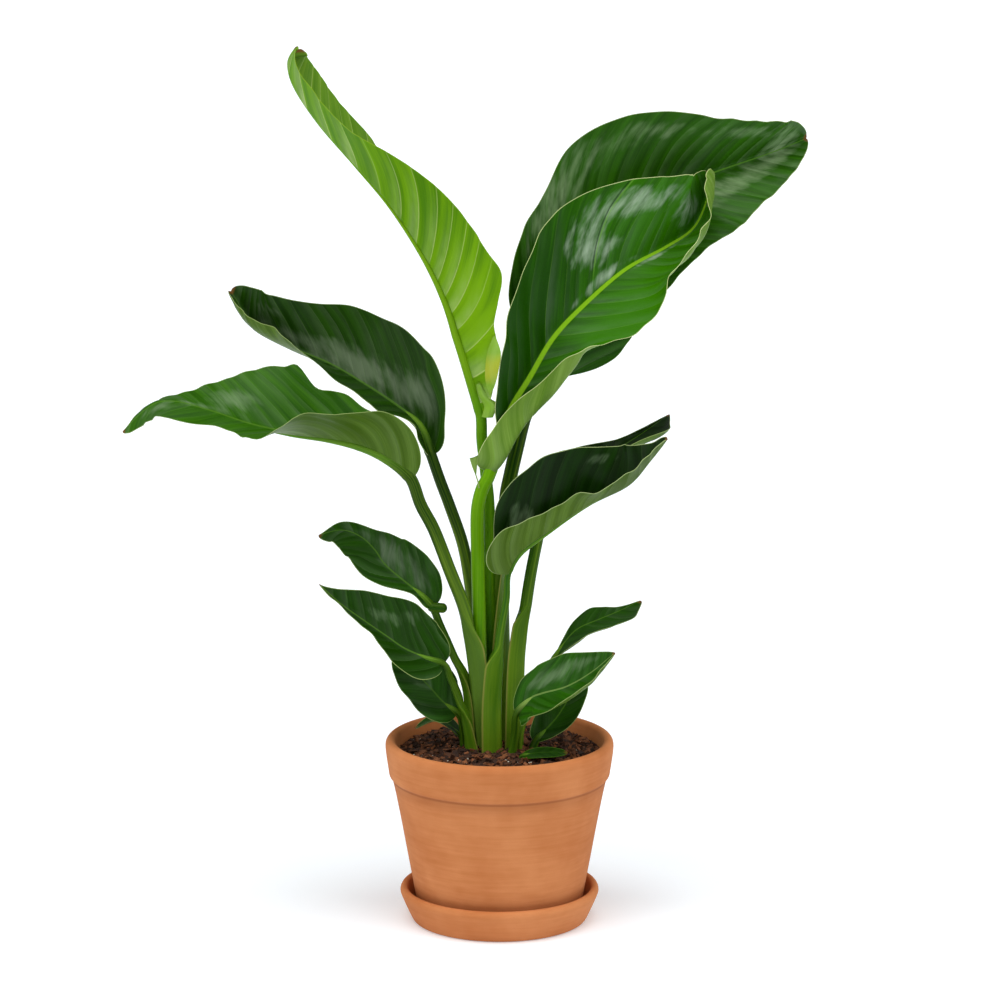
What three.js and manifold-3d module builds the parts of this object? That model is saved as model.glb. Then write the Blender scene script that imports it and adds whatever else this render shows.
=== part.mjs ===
// A potted bird of paradise: fifteen leaves in bark soil, in a terracotta pot on its saucer.
// Millimetres, +Z up. The origin is under the middle of the saucer and the front is towards -Y.
import * as THREE from 'three';
import { mergeVertices } from 'three/addons/utils/BufferGeometryUtils.js';
import Module from 'manifold-3d';

const wasm = await Module();
wasm.setup();

// Driving sizes of the pot and its saucer
const RIM_RADIUS = 105;
const RIM_HEIGHT = 171.5;
const POT_FOOT_RADIUS = 75;
const POT_FLOOR = 8;
const COLLAR_BOTTOM = 134;
const DRAIN_RADIUS = 10;
const SAUCER_RADIUS = 91.7;
const SAUCER_HEIGHT = 31.5;
const SAUCER_FLOOR = 7;
const TURNED_SIDES = 36;

// Driving sizes of the soil
const SOIL_RADIUS = 92.6;
const SOIL_EDGE = 157.5;
const SOIL_CROWN = 5;
const SOIL_RELIEF = 1.2;
const SOIL_RINGS = [0.75, 0.5, 0.25, 0];

// Driving sizes shared by the leaves
const GAP = 0.5;
const BLADE_THICKNESS = 1.1;
const CREASE = 6;
const WIDTH_STEPS = 24;
const FOOT_U = 0.004;
const TIP_U = 0.997;
const ROW_CROWDING = 0.09;
const RIB_LEAST = 0.5;
const RIB_TAPER = 2;
const RIB_PROUD = 0.3;
const RIB_SINK_SHARE = 0.2;
const WAVE_SHIFT = 1.1;
const STALK_STEP = 30;

// Each leaf has a stalk and a rib, as points from inside the soil to the tip, the way its upper
// face looks at the foot of the stalk and along the rib, and two blade halves, left and right as
// seen on the upper face looking to the tip. A half has its greatest width, the powers of its
// outline at the foot and the tip, how far it is trimmed or let out along the rib, and its fold
// and curl towards the upper face in degrees along the rib. A bend says where across the half the
// curl starts and where it ends, each along the rib. The sweep leans the side veins to the tip, and
// a wave has its height, count and start. A stem has its radius at the foot of the stalk and of the
// blade. A sheath has its top, the height over which it fades, its thickness, and the reach and
// bend of its two arms. A spur is a short round-ended stub with its ends and radius.
// Front leaves come first, because a sheath is cut back to clear those before it.
const LEAVES = {
  trough_leaf: {
    stalk: [[-3, -17, 125], [-3, -17, 150], [-4, -17, 211], [0, -18, 267], [6, -20, 305]],
    rib: [[8, -24, 331], [19, -28, 352.5], [47, -36, 375.5], [80, -45, 399.5], [115, -55, 419.5],
      [134, -62, 443], [149, -68, 464]],
    toward: [-1, 0, 0],
    face: [[-0.55, -0.3, 0.75], [-0.55, -0.3, 0.75], [-0.55, -0.3, 0.75]],
    left: {
      half: 56, shape: [0.45, 0.65],
      trim: [0.9, 0.7, 1, 1.08, 1.06, 1.1, 1.02, 0.89, 0.83, 0.8, 0.62, 0.48, 0.6],
      fold: [75, 75, 75, 72, 55, 45, 45], curl: [0],
    },
    right: {
      half: 50, shape: [0.35, 0.65],
      trim: [1, 0.88, 0.8, 0.62, 0.5, 0.53, 0.75, 0.55, 0.7, 0.8, 0.8, 0.85, 1],
      fold: [78, 78, 72, 60, 50, 46, 46], curl: [0],
    },
    sweep: [-5, 35], wave: [3, 3, 0], stem: [6.5, 2.8],
    sheath: { top: 264, fade: 22, thick: 6, left: [7, 7], right: [8, 12.5] },
    colour: 0x24521c, rows: 14, columns: 4, sides: 8,
  },
  low_left_leaf: {
    stalk: [[-15, -8, 125], [-15, -8, 150], [-18, -9, 181], [-21, -10, 212], [-24, -10, 241],
      [-28, -12, 271], [-32, -13, 296], [-45, -17, 332], [-59, -20, 370], [-71, -22, 394]],
    rib: [[-80, -25, 419], [-97, -28, 437], [-121, -32, 451], [-152, -36, 459], [-187, -40, 464],
      [-223, -45, 473], [-258, -50, 486], [-289, -55, 495], [-310, -60, 492], [-335, -65, 470]],
    toward: [1, 0, 0],
    face: [[0.3, -0.3, 0.85], [0.1, -0.5, 0.85], [-0.2, -0.5, 0.85]],
    left: {
      half: 55, shape: [0.5, 0.7], trim: [1, 1, 1, 0.97, 1.08, 1.22, 1.2, 0.6, 0.6, 1.05, 1.05, 0.85, 1],
      fold: [120, 100, 72, 58, 30, 20, 15, 11, 10], curl: [0],
    },
    right: {
      half: 60, shape: [0.9, 1.6],
      trim: [1, 0.83, 0.7, 0.68, 0.7, 0.68, 0.78, 0.76, 0.78, 1.11, 1.09, 1.13, 1.12, 1.09, 1.05, 0.99,
        0.92, 0.83, 0.76, 0.74, 0.84, 0.95, 1.1, 1.1, 1], fold: [40, 40, 34, 30, 20, 5, -20, -40, -40],
      curl: [0],
    },
    sweep: [-5, 35], wave: [2, 3, 0], stem: [6.5, 5.5],
    sheath: { top: 298, fade: 42, thick: 5, left: [7, 13], right: [6, 6] },
    colour: 0x336526, rows: 16, columns: 4, sides: 8,
  },
  curled_left_leaf: {
    stalk: [[-25, -21, 125], [-25, -21, 150], [-31, -22, 194], [-35, -24, 207], [-40, -27, 222],
      [-45, -31, 236]],
    rib: [[-50, -36, 249], [-68, -36, 256], [-86, -36, 264], [-103, -36, 276], [-124, -36, 291],
      [-144, -36, 306], [-163, -36, 324]],
    toward: [1, 0, 0],
    face: [[0.25, -0.75, 0.6], [0.25, -0.75, 0.6], [0.25, -0.75, 0.6]],
    left: {
      half: 34, shape: [0.4, 0.65], trim: [1, 1, 0.73, 0.42, 0.2, 0.15, 0.15],
      fold: [15, 20, 30, 38, 42, 42, 42], curl: [0],
    },
    right: {
      half: 34, shape: [0.4, 0.9], trim: [1, 1.15, 1.25, 1.1, 1, 0.8, 0.4],
      fold: [20, 15, 10, 10, 20, 40, 50], curl: [0],
    },
    sweep: [-5, 35], wave: [1, 3, 0], stem: [4.5, 3],
    sheath: { top: 212, fade: 22, thick: 4, left: [5, 8], right: [4, 3] },
    colour: 0x2a5a20, rows: 11, columns: 3, sides: 8,
  },
  front_right_leaf: {
    stalk: [[10, -25, 125], [10, -25, 150], [14, -27, 180]],
    rib: [[16, -32, 202], [28, -36, 217], [39, -40, 223], [61, -46, 231], [83, -53, 246], [104, -60, 266]],
    toward: [-1, 0, 0],
    face: [[-0.4, -0.7, 0.6], [-0.4, -0.7, 0.6], [-0.4, -0.7, 0.6]],
    left: {
      half: 30, shape: [0.5, 0.9], trim: [0.55, 0.76, 0.98, 1.12, 1.02, 0.95, 0.9], fold: [10, 10, 10],
      curl: [0],
    },
    right: {
      half: 36, shape: [0.35, 0.8], trim: [0.95, 1, 1, 1, 1, 0.95, 0.9], fold: [15, 15, 20],
      curl: [30, 70, 90],
    },
    sweep: [-12, 35], wave: [1, 2, 0], stem: [4.5, 3.5],
    colour: 0x2c6420, rows: 9, columns: 3, sides: 8,
  },
  low_right_leaf: {
    stalk: [[27, -14, 125], [27, -14, 150]],
    rib: [[33, -10, 170], [42, -5, 179], [52, 0, 189], [61, 4, 202], [67, 7, 214], [73, 10, 227]],
    toward: [-1, 0, 0],
    face: [[-0.4, -0.7, 0.6], [-0.5, -0.7, 0.4]],
    left: { half: 20, shape: [0.5, 0.6], fold: [10, 10, 10], curl: [0] },
    right: {
      half: 22, shape: [0.5, 0.6], trim: [0.7, 0.75, 0.85, 1, 1.05, 1.1, 1], fold: [10, 10, 10], curl: [0],
    },
    sweep: [-5, 35], wave: [1, 2, 0], stem: [5, 3.5],
    colour: 0x2c5a1e, rows: 8, columns: 3, sides: 8,
  },
  soil_leaf: {
    stalk: [[18, -36, 140], [18, -36, 154]],
    rib: [[20, -36, 163], [30, -38, 166], [44, -38, 167], [62, -36, 166.5]],
    toward: [-1, 0, 0],
    face: [[-0.3, -0.4, 0.9], [0, -0.4, 0.9], [0.1, -0.4, 0.9]],
    left: { half: 7.5, shape: [0.6, 0.7], fold: [10, 10, 10], curl: [0] },
    right: { half: 9, shape: [0.6, 0.7], fold: [10, 10, 10], curl: [0] },
    sweep: [-5, 35], wave: [0, 2, 0], stem: [2.5, 2],
    colour: 0x34701f, rows: 6, columns: 2, sides: 6,
  },
  small_left_leaf: {
    stalk: [[-28, -6, 125], [-28, -6, 150], [-29, -6, 206], [-34, -7, 231], [-41, -8, 248], [-48, -9, 265],
      [-54, -9, 279]],
    rib: [[-61, -10, 296], [-72, -7, 308], [-85, -2, 317], [-104, 5, 332], [-114, 11, 345],
      [-127, 16, 356], [-144, 20, 361], [-165, 23, 356]],
    toward: [1, 0, 0],
    face: [[0.25, -0.75, 0.6], [0.25, -0.75, 0.6], [0.25, -0.75, 0.6]],
    left: {
      half: 26, shape: [0.45, 0.6], trim: [0.7, 0.35, 0.88, 1.18, 1.2, 0.95, 0.8],
      fold: [20, 20, 10, 10, 10], curl: [0],
    },
    right: {
      half: 26, shape: [0.45, 1.1], trim: [1, 1.25, 1.3, 1.2, 0.75, 1, 0.9], fold: [10, 10, 10, 10, 10],
      curl: [0],
    },
    sweep: [-5, 35], wave: [1, 3, 0], stem: [4.5, 3.5],
    sheath: { top: 250, fade: 24, thick: 4, left: [4.5, 6], right: [4.5, 4] },
    spur: { from: [-61, -10, 296], to: [-52, -11, 295.5], radius: 4.6 },
    colour: 0x2f5a2a, rows: 11, columns: 3, sides: 8,
  },
  bright_leaf: {
    stalk: [[-12, -1, 125], [-12, -1, 150], [-17, -3, 207], [-18, -4, 258], [-19, -5, 302], [-20, -5, 351],
      [-20, -5, 384], [-16, -5, 404]],
    rib: [[-9, -5, 419], [-1, 0, 449], [10, 8, 476], [27, 16, 503], [49, 28, 538], [79, 40, 568],
      [114, 48, 597], [151, 58, 616], [175, 66, 631], [187, 73, 652], [193, 80, 679]],
    toward: [-1, 0, 0],
    face: [[-0.1, -0.95, 0.2], [-0.1, -0.95, 0.2], [-0.1, -0.95, 0.2]],
    left: {
      half: 80, shape: [0.75, 0.6],
      trim: [0.6, 0.15, 0.36, 0.75, 0.86, 0.93, 1.04, 1.04, 1, 1, 1.01, 0.85, 0.8],
      fold: [20, 35, 58, 32, 15, 28, 52, 60], curl: [0],
    },
    right: {
      half: 66, shape: [0.6, 0.5], trim: [2.6, 1.42, 1, 0.95, 0.97, 0.85, 0.97, 1, 0.97, 1.05, 1, 1, 1],
      fold: [20, 10, 0, 12, 28, 32, 58, 60], curl: [165, 175, 178, 50, 20, 95, 110, 110],
      bend: [[0.06, 0.35, 0.3, 0, 0, 0, 0, 0], [0.52, 0.58, 1, 1.2, 1.2, 1.2, 1.2, 1.2]],
    },
    sweep: [-5, 35], wave: [2, 3, 0], stem: [6.5, 6],
    colour: 0x3d8a20, rows: 16, columns: 7, sides: 8,
  },
  shadow_leaf: {
    stalk: [[17, -5, 125], [17, -5, 150], [18, -4, 233], [20, -3, 263], [24, 0, 295], [29, 4, 327],
      [35, 10, 356]],
    rib: [[41, 15, 383], [57, 22, 398], [78, 31, 415], [103, 41, 429], [128, 50, 443], [155, 58, 461]],
    toward: [-1, 0, 0],
    face: [[-0.55, -0.3, 0.75], [-0.55, -0.3, 0.75], [-0.55, -0.3, 0.75]],
    left: {
      half: 24, shape: [0.45, 0.9], trim: [0.7, 1, 1.35, 1, 0.72, 0.55, 0.5, 0.55, 0.7],
      fold: [50, 50, 50, 60, 65], curl: [0],
    },
    right: {
      half: 26, shape: [0.45, 0.65], trim: [1, 1, 1, 1, 1, 1.4, 2.15, 1.75, 1.1],
      fold: [10, 10, 5, -10, -15], curl: [90, 90, 60, 60, 60],
    },
    sweep: [-5, 35], wave: [2, 3, 0], stem: [6.5, 5],
    sheath: { top: 298, fade: 22, thick: 5, left: [6, 6], right: [7, 12] },
    colour: 0x2a5522, rows: 10, columns: 3, sides: 8,
  },
  high_left_leaf: {
    stalk: [[-21, 9, 125], [-21, 9, 150], [-19, 9, 242], [-21, 9, 270], [-26, 10, 308], [-33, 12, 348],
      [-45, 15, 384], [-54, 17, 408]],
    rib: [[-62, 20, 431], [-72, 28, 457], [-92, 36, 473], [-123, 46, 492], [-155, 56, 509],
      [-192, 66, 523], [-225, 74, 541], [-246, 80, 572]],
    toward: [1, 0, 0],
    face: [[0.25, -0.75, 0.6], [0.25, -0.75, 0.6], [0.25, -0.75, 0.6]],
    left: {
      half: 44, shape: [0.45, 0.6], trim: [1, 0.6, 0.5, 0.36, 0.62, 1, 1, 1, 1],
      fold: [50, 40, 15, 22, 58, 60, 50, 40], curl: [20, 20, 10, 0, 20, 60, 60, 40],
    },
    right: {
      half: 50, shape: [0.5, 0.6],
      trim: [1, 0.88, 1.34, 1.29, 1.3, 1.24, 1.18, 1.03, 1.02, 1.07, 1.1, 1.08, 1],
      fold: [66, 58, 34, 20, 34, 54, 58, 50], curl: [0],
    },
    sweep: [-5, 35], wave: [2, 3, 0], stem: [6.5, 5],
    colour: 0x2b5a24, rows: 15, columns: 4, sides: 8,
  },
  tall_leaf: {
    stalk: [[6, 11, 125], [6, 11, 150], [4, 11, 260], [4, 12, 316], [5, 13, 353], [6, 16, 390],
      [10, 20, 412], [16, 28, 437]],
    rib: [[22, 38, 460], [37, 50, 513], [57, 62, 562], [86, 75, 603], [121, 88, 640], [158, 100, 663],
      [194, 110, 676], [247, 125, 692], [283, 135, 705]],
    toward: [-1, 0, 0],
    face: [[-0.1, -0.95, 0.25], [-0.1, -0.95, 0.25], [-0.1, -0.95, 0.25]],
    left: {
      half: 80, shape: [0.85, 0.75],
      trim: [1, 1.13, 1.15, 1.12, 1.03, 0.97, 1.1, 1.06, 0.97, 0.94, 1.02, 1.12, 1.1],
      fold: [66, 62, 44, 12, 22, 48, 64, 64], curl: [0],
    },
    right: {
      half: 78, shape: [0.75, 0.8],
      trim: [0.3, 0.3, 1.07, 1.09, 1, 1, 0.98, 0.97, 1.04, 0.98, 0.96, 0.98, 1],
      fold: [-60, -25, 5, 14, 16, 24, 35, 40], curl: [0],
    },
    sweep: [-5, 35], wave: [3, 3, 0], stem: [7, 6.5],
    sheath: { top: 394, fade: 20, thick: 6, left: [6, 6], right: [7, 14] },
    colour: 0x2c6a22, rows: 15, columns: 4, sides: 8,
  },
  new_leaf: {
    stalk: [[-8, 14, 125], [-8, 14, 150], [-8, 13, 260], [-9, 12, 316], [-9, 11, 363], [-10, 14, 392],
      [-13, 15, 419], [-16, 15, 446]],
    rib: [[-17, 14, 470], [-24, 14, 500], [-34, 13, 536], [-47, 12, 575], [-67, 12, 615], [-97, 12, 660],
      [-129, 15, 697], [-161, 18, 733], [-183, 22, 765], [-189, 25, 786], [-183, 27, 799]],
    toward: [0.6, 0.8, 0],
    face: [[0.9, 0.1, 0.4], [0.8, 0, 0.6], [0.8, -0.1, 0.6]],
    left: {
      half: 62, shape: [0.6, 0.45],
      trim: [1, 1.01, 1.02, 1.1, 1.07, 1.04, 1.23, 1.47, 1.29, 1.17, 1.07, 1.01, 0.97, 0.93, 0.9, 0.86,
        0.82, 0.78, 0.75, 0.75, 0.77, 0.8, 0.84, 0.87, 0.9], fold: [46, 46, 50, 58, 48, 34, 34, 44],
      curl: [0],
    },
    right: {
      half: 58, shape: [0.5, 0.35], trim: [1, 1, 1, 1, 1, 0.83, 0.81, 0.81, 0.6],
      fold: [20, 20, 20, 22, 26, 32, 44, 60], curl: [0],
    },
    sweep: [-5, 35], wave: [2, 3, 0], stem: [6, 5],
    colour: 0x86a82a, rows: 16, columns: 4, sides: 8,
  },
  oval_left_leaf: {
    stalk: [[-33, 4, 125], [-33, 4, 150], [-34, -1, 180]],
    rib: [[-38, -6, 195], [-52, -8, 207], [-65, -8, 222], [-80, -8, 237], [-94, -8, 253]],
    toward: [1, 0, 0],
    face: [[0.25, -0.85, 0.5], [0.25, -0.85, 0.5]],
    left: { half: 26, shape: [0.5, 0.7], fold: [10, 10, 10], curl: [0] },
    right: { half: 26, shape: [0.5, 0.7], fold: [10, 10, 10], curl: [0] },
    sweep: [-5, 35], wave: [1, 3, 0], stem: [3.5, 3],
    colour: 0x2a5a22, rows: 8, columns: 3, sides: 6,
  },
  rim_left_leaf: {
    stalk: [[-31, 13, 130], [-31, 13, 150]],
    rib: [[-36, 14, 168], [-46, 16, 178], [-59, 20, 182], [-78, 25, 173]],
    toward: [1, 0, 0],
    face: [[0.3, -0.2, 0.9], [0.1, -0.2, 0.9], [-0.4, -0.2, 0.9]],
    left: { half: 11, shape: [0.6, 0.8], fold: [20, 20, 20], curl: [0] },
    right: { half: 11, shape: [0.6, 0.8], fold: [20, 20, 20], curl: [0] },
    sweep: [0, 35], wave: [0, 3, 0], stem: [2.5, 2],
    colour: 0x2c5c22, rows: 6, columns: 2, sides: 6,
  },
  small_right_leaf: {
    stalk: [[18, -20, 125], [18, -20, 150], [19, -18, 178], [28, -10, 204], [38, -2, 223]],
    rib: [[48, 5, 241], [57, 8, 255], [71, 11, 270], [92, 14, 279], [110, 17, 286], [129, 20, 295]],
    toward: [-1, 0, 0],
    face: [[-0.5, -0.6, 0.6], [-0.4, -0.6, 0.7], [-0.2, -0.6, 0.8]],
    left: {
      half: 17, shape: [1.4, 0.9], trim: [0.3, 0.5, 0.55, 0.85, 1.15, 0.75, 0.42, 0.3, 0.3],
      fold: [10, 5, 0, 0, 0], curl: [0],
    },
    right: {
      half: 20, shape: [0.8, 0.6], trim: [1, 1.6, 1.8, 1.45, 1.4, 1.5, 1.45, 1.15, 0.8],
      fold: [10, 10, 10, 10, 10], curl: [60, 60, 50, 40, 40],
    },
    sweep: [0, 35], wave: [1, 2, 0], stem: [3, 2.8],
    colour: 0x33602e, rows: 8, columns: 3, sides: 6,
  },
};

// A closed triangle mesh as a solid that can be joined and cut
function toSolid(geometry) {
  const bare = geometry.clone();
  bare.deleteAttribute('normal');
  bare.deleteAttribute('uv');
  const merged = mergeVertices(bare, 1e-4);
  return new wasm.Manifold(new wasm.Mesh({
    numProp: 3,
    vertProperties: new Float32Array(merged.attributes.position.array),
    triVerts: new Uint32Array(merged.index.array),
  }));
}

function toGeometry(solid) {
  const mesh = solid.getMesh();
  const geometry = new THREE.BufferGeometry();
  geometry.setAttribute('position', new THREE.BufferAttribute(mesh.vertProperties, 3));
  geometry.setIndex(new THREE.BufferAttribute(mesh.triVerts, 1));
  geometry.computeVertexNormals();
  return geometry;
}

function meshOf(points, triangles) {
  const geometry = new THREE.BufferGeometry();
  geometry.setAttribute('position', new THREE.Float32BufferAttribute(points.flatMap((p) => p.toArray()), 3));
  geometry.setIndex(triangles.flat());
  return geometry;
}

// A value along a list of numbers, on the same kind of curve as the rib
function along(list, u) {
  const x = THREE.MathUtils.clamp(u, 0, 1) * (list.length - 1);
  const i = Math.min(Math.floor(x), Math.max(list.length - 2, 0));
  const f = x - i;
  const b = list[i];
  const c = list[i + 1] ?? b;
  const a = list[i - 1] ?? 2 * b - c;
  const d = list[i + 2] ?? 2 * c - b;
  const square = 2 * a - 5 * b + 4 * c - d;
  const cube = 3 * b - a - 3 * c + d;
  return 0.5 * (2 * b + (c - a) * f + square * f ** 2 + cube * f ** 3);
}

// The line of a leaf from the foot of its stalk to its tip, with the way its upper face looks
class Axis {
  constructor(leaf) {
    const points = [...leaf.stalk, ...leaf.rib].map((p) => new THREE.Vector3(...p));
    this.leaf = leaf;
    this.curve = new THREE.CatmullRomCurve3(points, false, 'catmullrom', 0.5);
    this.curve.arcLengthDivisions = 400;
    this.length = this.curve.getLength();
    const foot = this.curve.arcLengthDivisions * leaf.stalk.length / (points.length - 1);
    const lengths = this.curve.getLengths();
    const before = Math.floor(foot);
    this.foot = THREE.MathUtils.lerp(lengths[before], lengths[before + 1], foot - before);
  }

  at(distance) {
    const t = this.curve.getUtoTmapping(0, distance);
    const u = (distance - this.foot) / (this.length - this.foot);
    const blade = new THREE.Vector3(...[0, 1, 2].map((k) => along(this.leaf.face.map((f) => f[k]), u)));
    const toward = new THREE.Vector3(...this.leaf.toward);
    const turn = THREE.MathUtils.smoothstep(distance / this.foot, 0, 1);
    const tangent = this.curve.getTangent(t);
    const face = u < 0 ? toward.lerp(new THREE.Vector3(...this.leaf.face[0]), turn) : blade;
    face.addScaledVector(tangent, -face.dot(tangent)).normalize();
    return { point: this.curve.getPoint(t), tangent, face, side: tangent.clone().cross(face) };
  }

  atU(u) {
    return this.at(this.foot + u * (this.length - this.foot));
  }
}

// The share of its greatest width that a blade half has at u
function outline(shape, u) {
  const [foot, tip] = shape;
  const widest = foot / (foot + tip);
  return (u / widest) ** foot * ((1 - u) / (1 - widest)) ** tip;
}

// The share of its curl that a blade half has at v, from the rib to the margin
function curled(half, u, v) {
  return half.bend ? THREE.MathUtils.smoothstep(v, along(half.bend[0], u), along(half.bend[1], u)) : v ** 2;
}

// Points across one half of the blade, from the rib to the margin
function acrossHalf(leaf, frame, u, half, sign) {
  const width = half.half * outline(half.shape, u) * along(half.trim ?? [1], u);
  const fold = THREE.MathUtils.degToRad(along(half.fold, u));
  const curl = THREE.MathUtils.degToRad(along(half.curl, u));
  const sweep = THREE.MathUtils.degToRad(THREE.MathUtils.lerp(...leaf.sweep, u));
  const [height, count, start] = leaf.wave;
  const phase = 2 * Math.PI * (count * u + start) + WAVE_SHIFT * sign;
  const swell = height * Math.sin(phase) * 4 * u * (1 - u);
  const step = width / WIDTH_STEPS;
  const place = frame.point.clone();
  const points = [];
  for (let n = 0; n <= WIDTH_STEPS; n += 1) {
    const v = n / WIDTH_STEPS;
    const angle = fold + curl * curled(half, u, v);
    const lift = swell * v ** 2;
    points.push(place.clone()
      .addScaledVector(frame.side, -Math.sin(angle) * sign * lift)
      .addScaledVector(frame.face, Math.cos(angle) * lift));
    const middle = (n + 0.5) / WIDTH_STEPS;
    const creased = THREE.MathUtils.smoothstep(middle * width / CREASE, 0, 1);
    const turned = fold * creased + curl * curled(half, u, middle);
    place.addScaledVector(frame.side, step * Math.cos(sweep) * Math.cos(turned) * sign)
      .addScaledVector(frame.face, step * Math.cos(sweep) * Math.sin(turned))
      .addScaledVector(frame.tangent, step * Math.sin(sweep));
  }
  return points;
}

// A thin closed sheet of even thickness on a grid of points
function sheet(grid) {
  const rows = grid.length;
  const columns = grid[0].length;
  const upper = [];
  const lower = [];
  for (let i = 0; i < rows; i += 1) {
    for (let j = 0; j < columns; j += 1) {
      const along1 = grid[Math.min(i + 1, rows - 1)][j].clone().sub(grid[Math.max(i - 1, 0)][j]);
      const across = grid[i][Math.min(j + 1, columns - 1)].clone().sub(grid[i][Math.max(j - 1, 0)]);
      const normal = across.cross(along1).normalize().multiplyScalar(BLADE_THICKNESS / 2);
      upper.push(grid[i][j].clone().add(normal));
      lower.push(grid[i][j].clone().sub(normal));
    }
  }
  const at = (i, j) => i * columns + j;
  const under = rows * columns;
  const triangles = [];
  for (let i = 0; i < rows - 1; i += 1) {
    for (let j = 0; j < columns - 1; j += 1) {
      const [a, b, c, d] = [at(i, j), at(i, j + 1), at(i + 1, j + 1), at(i + 1, j)];
      triangles.push([a, b, c], [a, c, d]);
      triangles.push([under + a, under + c, under + b], [under + a, under + d, under + c]);
    }
  }
  const border = [];
  for (let j = 0; j < columns - 1; j += 1) {
    border.push([at(0, j + 1), at(0, j)], [at(rows - 1, j), at(rows - 1, j + 1)]);
  }
  for (let i = 0; i < rows - 1; i += 1) {
    border.push([at(i, 0), at(i + 1, 0)], [at(i + 1, columns - 1), at(i, columns - 1)]);
  }
  for (const [a, b] of border) {
    triangles.push([a, b, under + b], [a, under + b, under + a]);
  }
  return meshOf([...upper, ...lower], triangles);
}

// How far along the rib a row of the blade lies: the rows are closer near the foot and the tip
function rowAt(leaf, row) {
  const x = row / leaf.rows;
  return THREE.MathUtils.lerp(FOOT_U, TIP_U, x - ROW_CROWDING * Math.sin(2 * Math.PI * x));
}

function bladeOf(leaf, axis) {
  const grid = [];
  for (let row = 0; row <= leaf.rows; row += 1) {
    const u = rowAt(leaf, row);
    const frame = axis.atU(u);
    const left = acrossHalf(leaf, frame, u, leaf.left, -1);
    const right = acrossHalf(leaf, frame, u, leaf.right, 1);
    const wide = WIDTH_STEPS / leaf.columns;
    const picked = Array.from({ length: leaf.columns }, (_, j) => Math.round(wide * (j + 1)));
    grid.push([...picked.map((n) => left[n]).reverse(), left[0], ...picked.map((n) => right[n])]);
  }
  return sheet(grid);
}

// One cross-section of the stalk or rib: round, and bent into two thin arms where it is a sheath
function section(leaf, axis, distance, clearance) {
  const frame = axis.at(distance);
  const [low, high] = leaf.stem;
  const u = (distance - axis.foot) / (axis.length - axis.foot);
  const share = distance / axis.foot;
  const radius = u > 0 ? high * (1 - u) ** RIB_TAPER + RIB_LEAST : THREE.MathUtils.lerp(low, high, share);
  const sunk = u > 0 ? Math.min(u / RIB_SINK_SHARE, 1) * (radius - RIB_PROUD) : 0;
  const { sheath } = leaf;
  const bare = sheath ? THREE.MathUtils.smoothstep(frame.point.z, sheath.top - sheath.fade, sheath.top) : 1;
  const thick = THREE.MathUtils.lerp(sheath?.thick ?? radius, radius, bare) + clearance;
  return Array.from({ length: leaf.sides }, (_, k) => {
    const turn = 2 * Math.PI * k / leaf.sides;
    const [reach, bend] = (Math.cos(turn) < 0 ? sheath?.left : sheath?.right) ?? [radius, 0];
    const x = (THREE.MathUtils.lerp(reach, radius, bare) + clearance) * Math.cos(turn);
    const y = (bend && bend + 2 * clearance) * (1 - bare) * Math.cos(turn) ** 2 + thick * Math.sin(turn);
    return frame.point.clone().addScaledVector(frame.side, x).addScaledVector(frame.face, y - sunk);
  });
}

// The stalk, from inside the soil, and the rib up to a row of the blade
function stemOf(leaf, axis, lastRow, clearance = 0) {
  const stalkSteps = Math.max(3, Math.round(axis.foot / STALK_STEP));
  const distances = [];
  for (let i = 0; i <= stalkSteps; i += 1) {
    distances.push(axis.foot * i / stalkSteps);
  }
  for (let row = 1; row <= lastRow; row += 1) {
    distances.push(axis.foot + (axis.length - axis.foot) * rowAt(leaf, row));
  }
  const rings = distances.map((distance) => section(leaf, axis, distance, clearance));
  const n = leaf.sides;
  const triangles = [];
  for (let i = 0; i < rings.length - 1; i += 1) {
    for (let k = 0; k < n; k += 1) {
      const next = (k + 1) % n;
      const [a, b, c, d] = [i * n + k, (i + 1) * n + k, (i + 1) * n + next, i * n + next];
      triangles.push([a, b, c], [a, c, d]);
    }
  }
  const last = (rings.length - 1) * n;
  for (let k = 0; k < n / 2; k += 1) {
    const opposite = (n - k) % n;
    for (const [a, b, c] of [[k, k + 1, n - k - 1], [k, n - k - 1, opposite]]) {
      if (a !== b && b !== c && a !== c) {
        triangles.push([a, b, c], [last + a, last + c, last + b]);
      }
    }
  }
  return meshOf(rings.flat(), triangles);
}

// The short stub of a cut stalk
function spurOf({ from, to, radius }) {
  const [start, end] = [from, to].map((p) => new THREE.Vector3(...p));
  const line = end.clone().sub(start);
  const upright = new THREE.Vector3(0, 1, 0);
  const turn = new THREE.Quaternion().setFromUnitVectors(upright, line.clone().normalize());
  const { x, y, z } = start.add(end).multiplyScalar(0.5);
  return new THREE.CapsuleGeometry(radius, line.length(), 3, 10).applyQuaternion(turn).translate(x, y, z);
}

function largest(solid) {
  return solid.decompose().reduce((a, b) => (a.volume() > b.volume() ? a : b));
}

// A turned solid from a closed outline of radius and height
function turned(profile) {
  const points = profile.map(([r, z]) => new THREE.Vector2(r, z));
  return new THREE.LatheGeometry(points, TURNED_SIDES).rotateX(Math.PI / 2);
}

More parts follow.
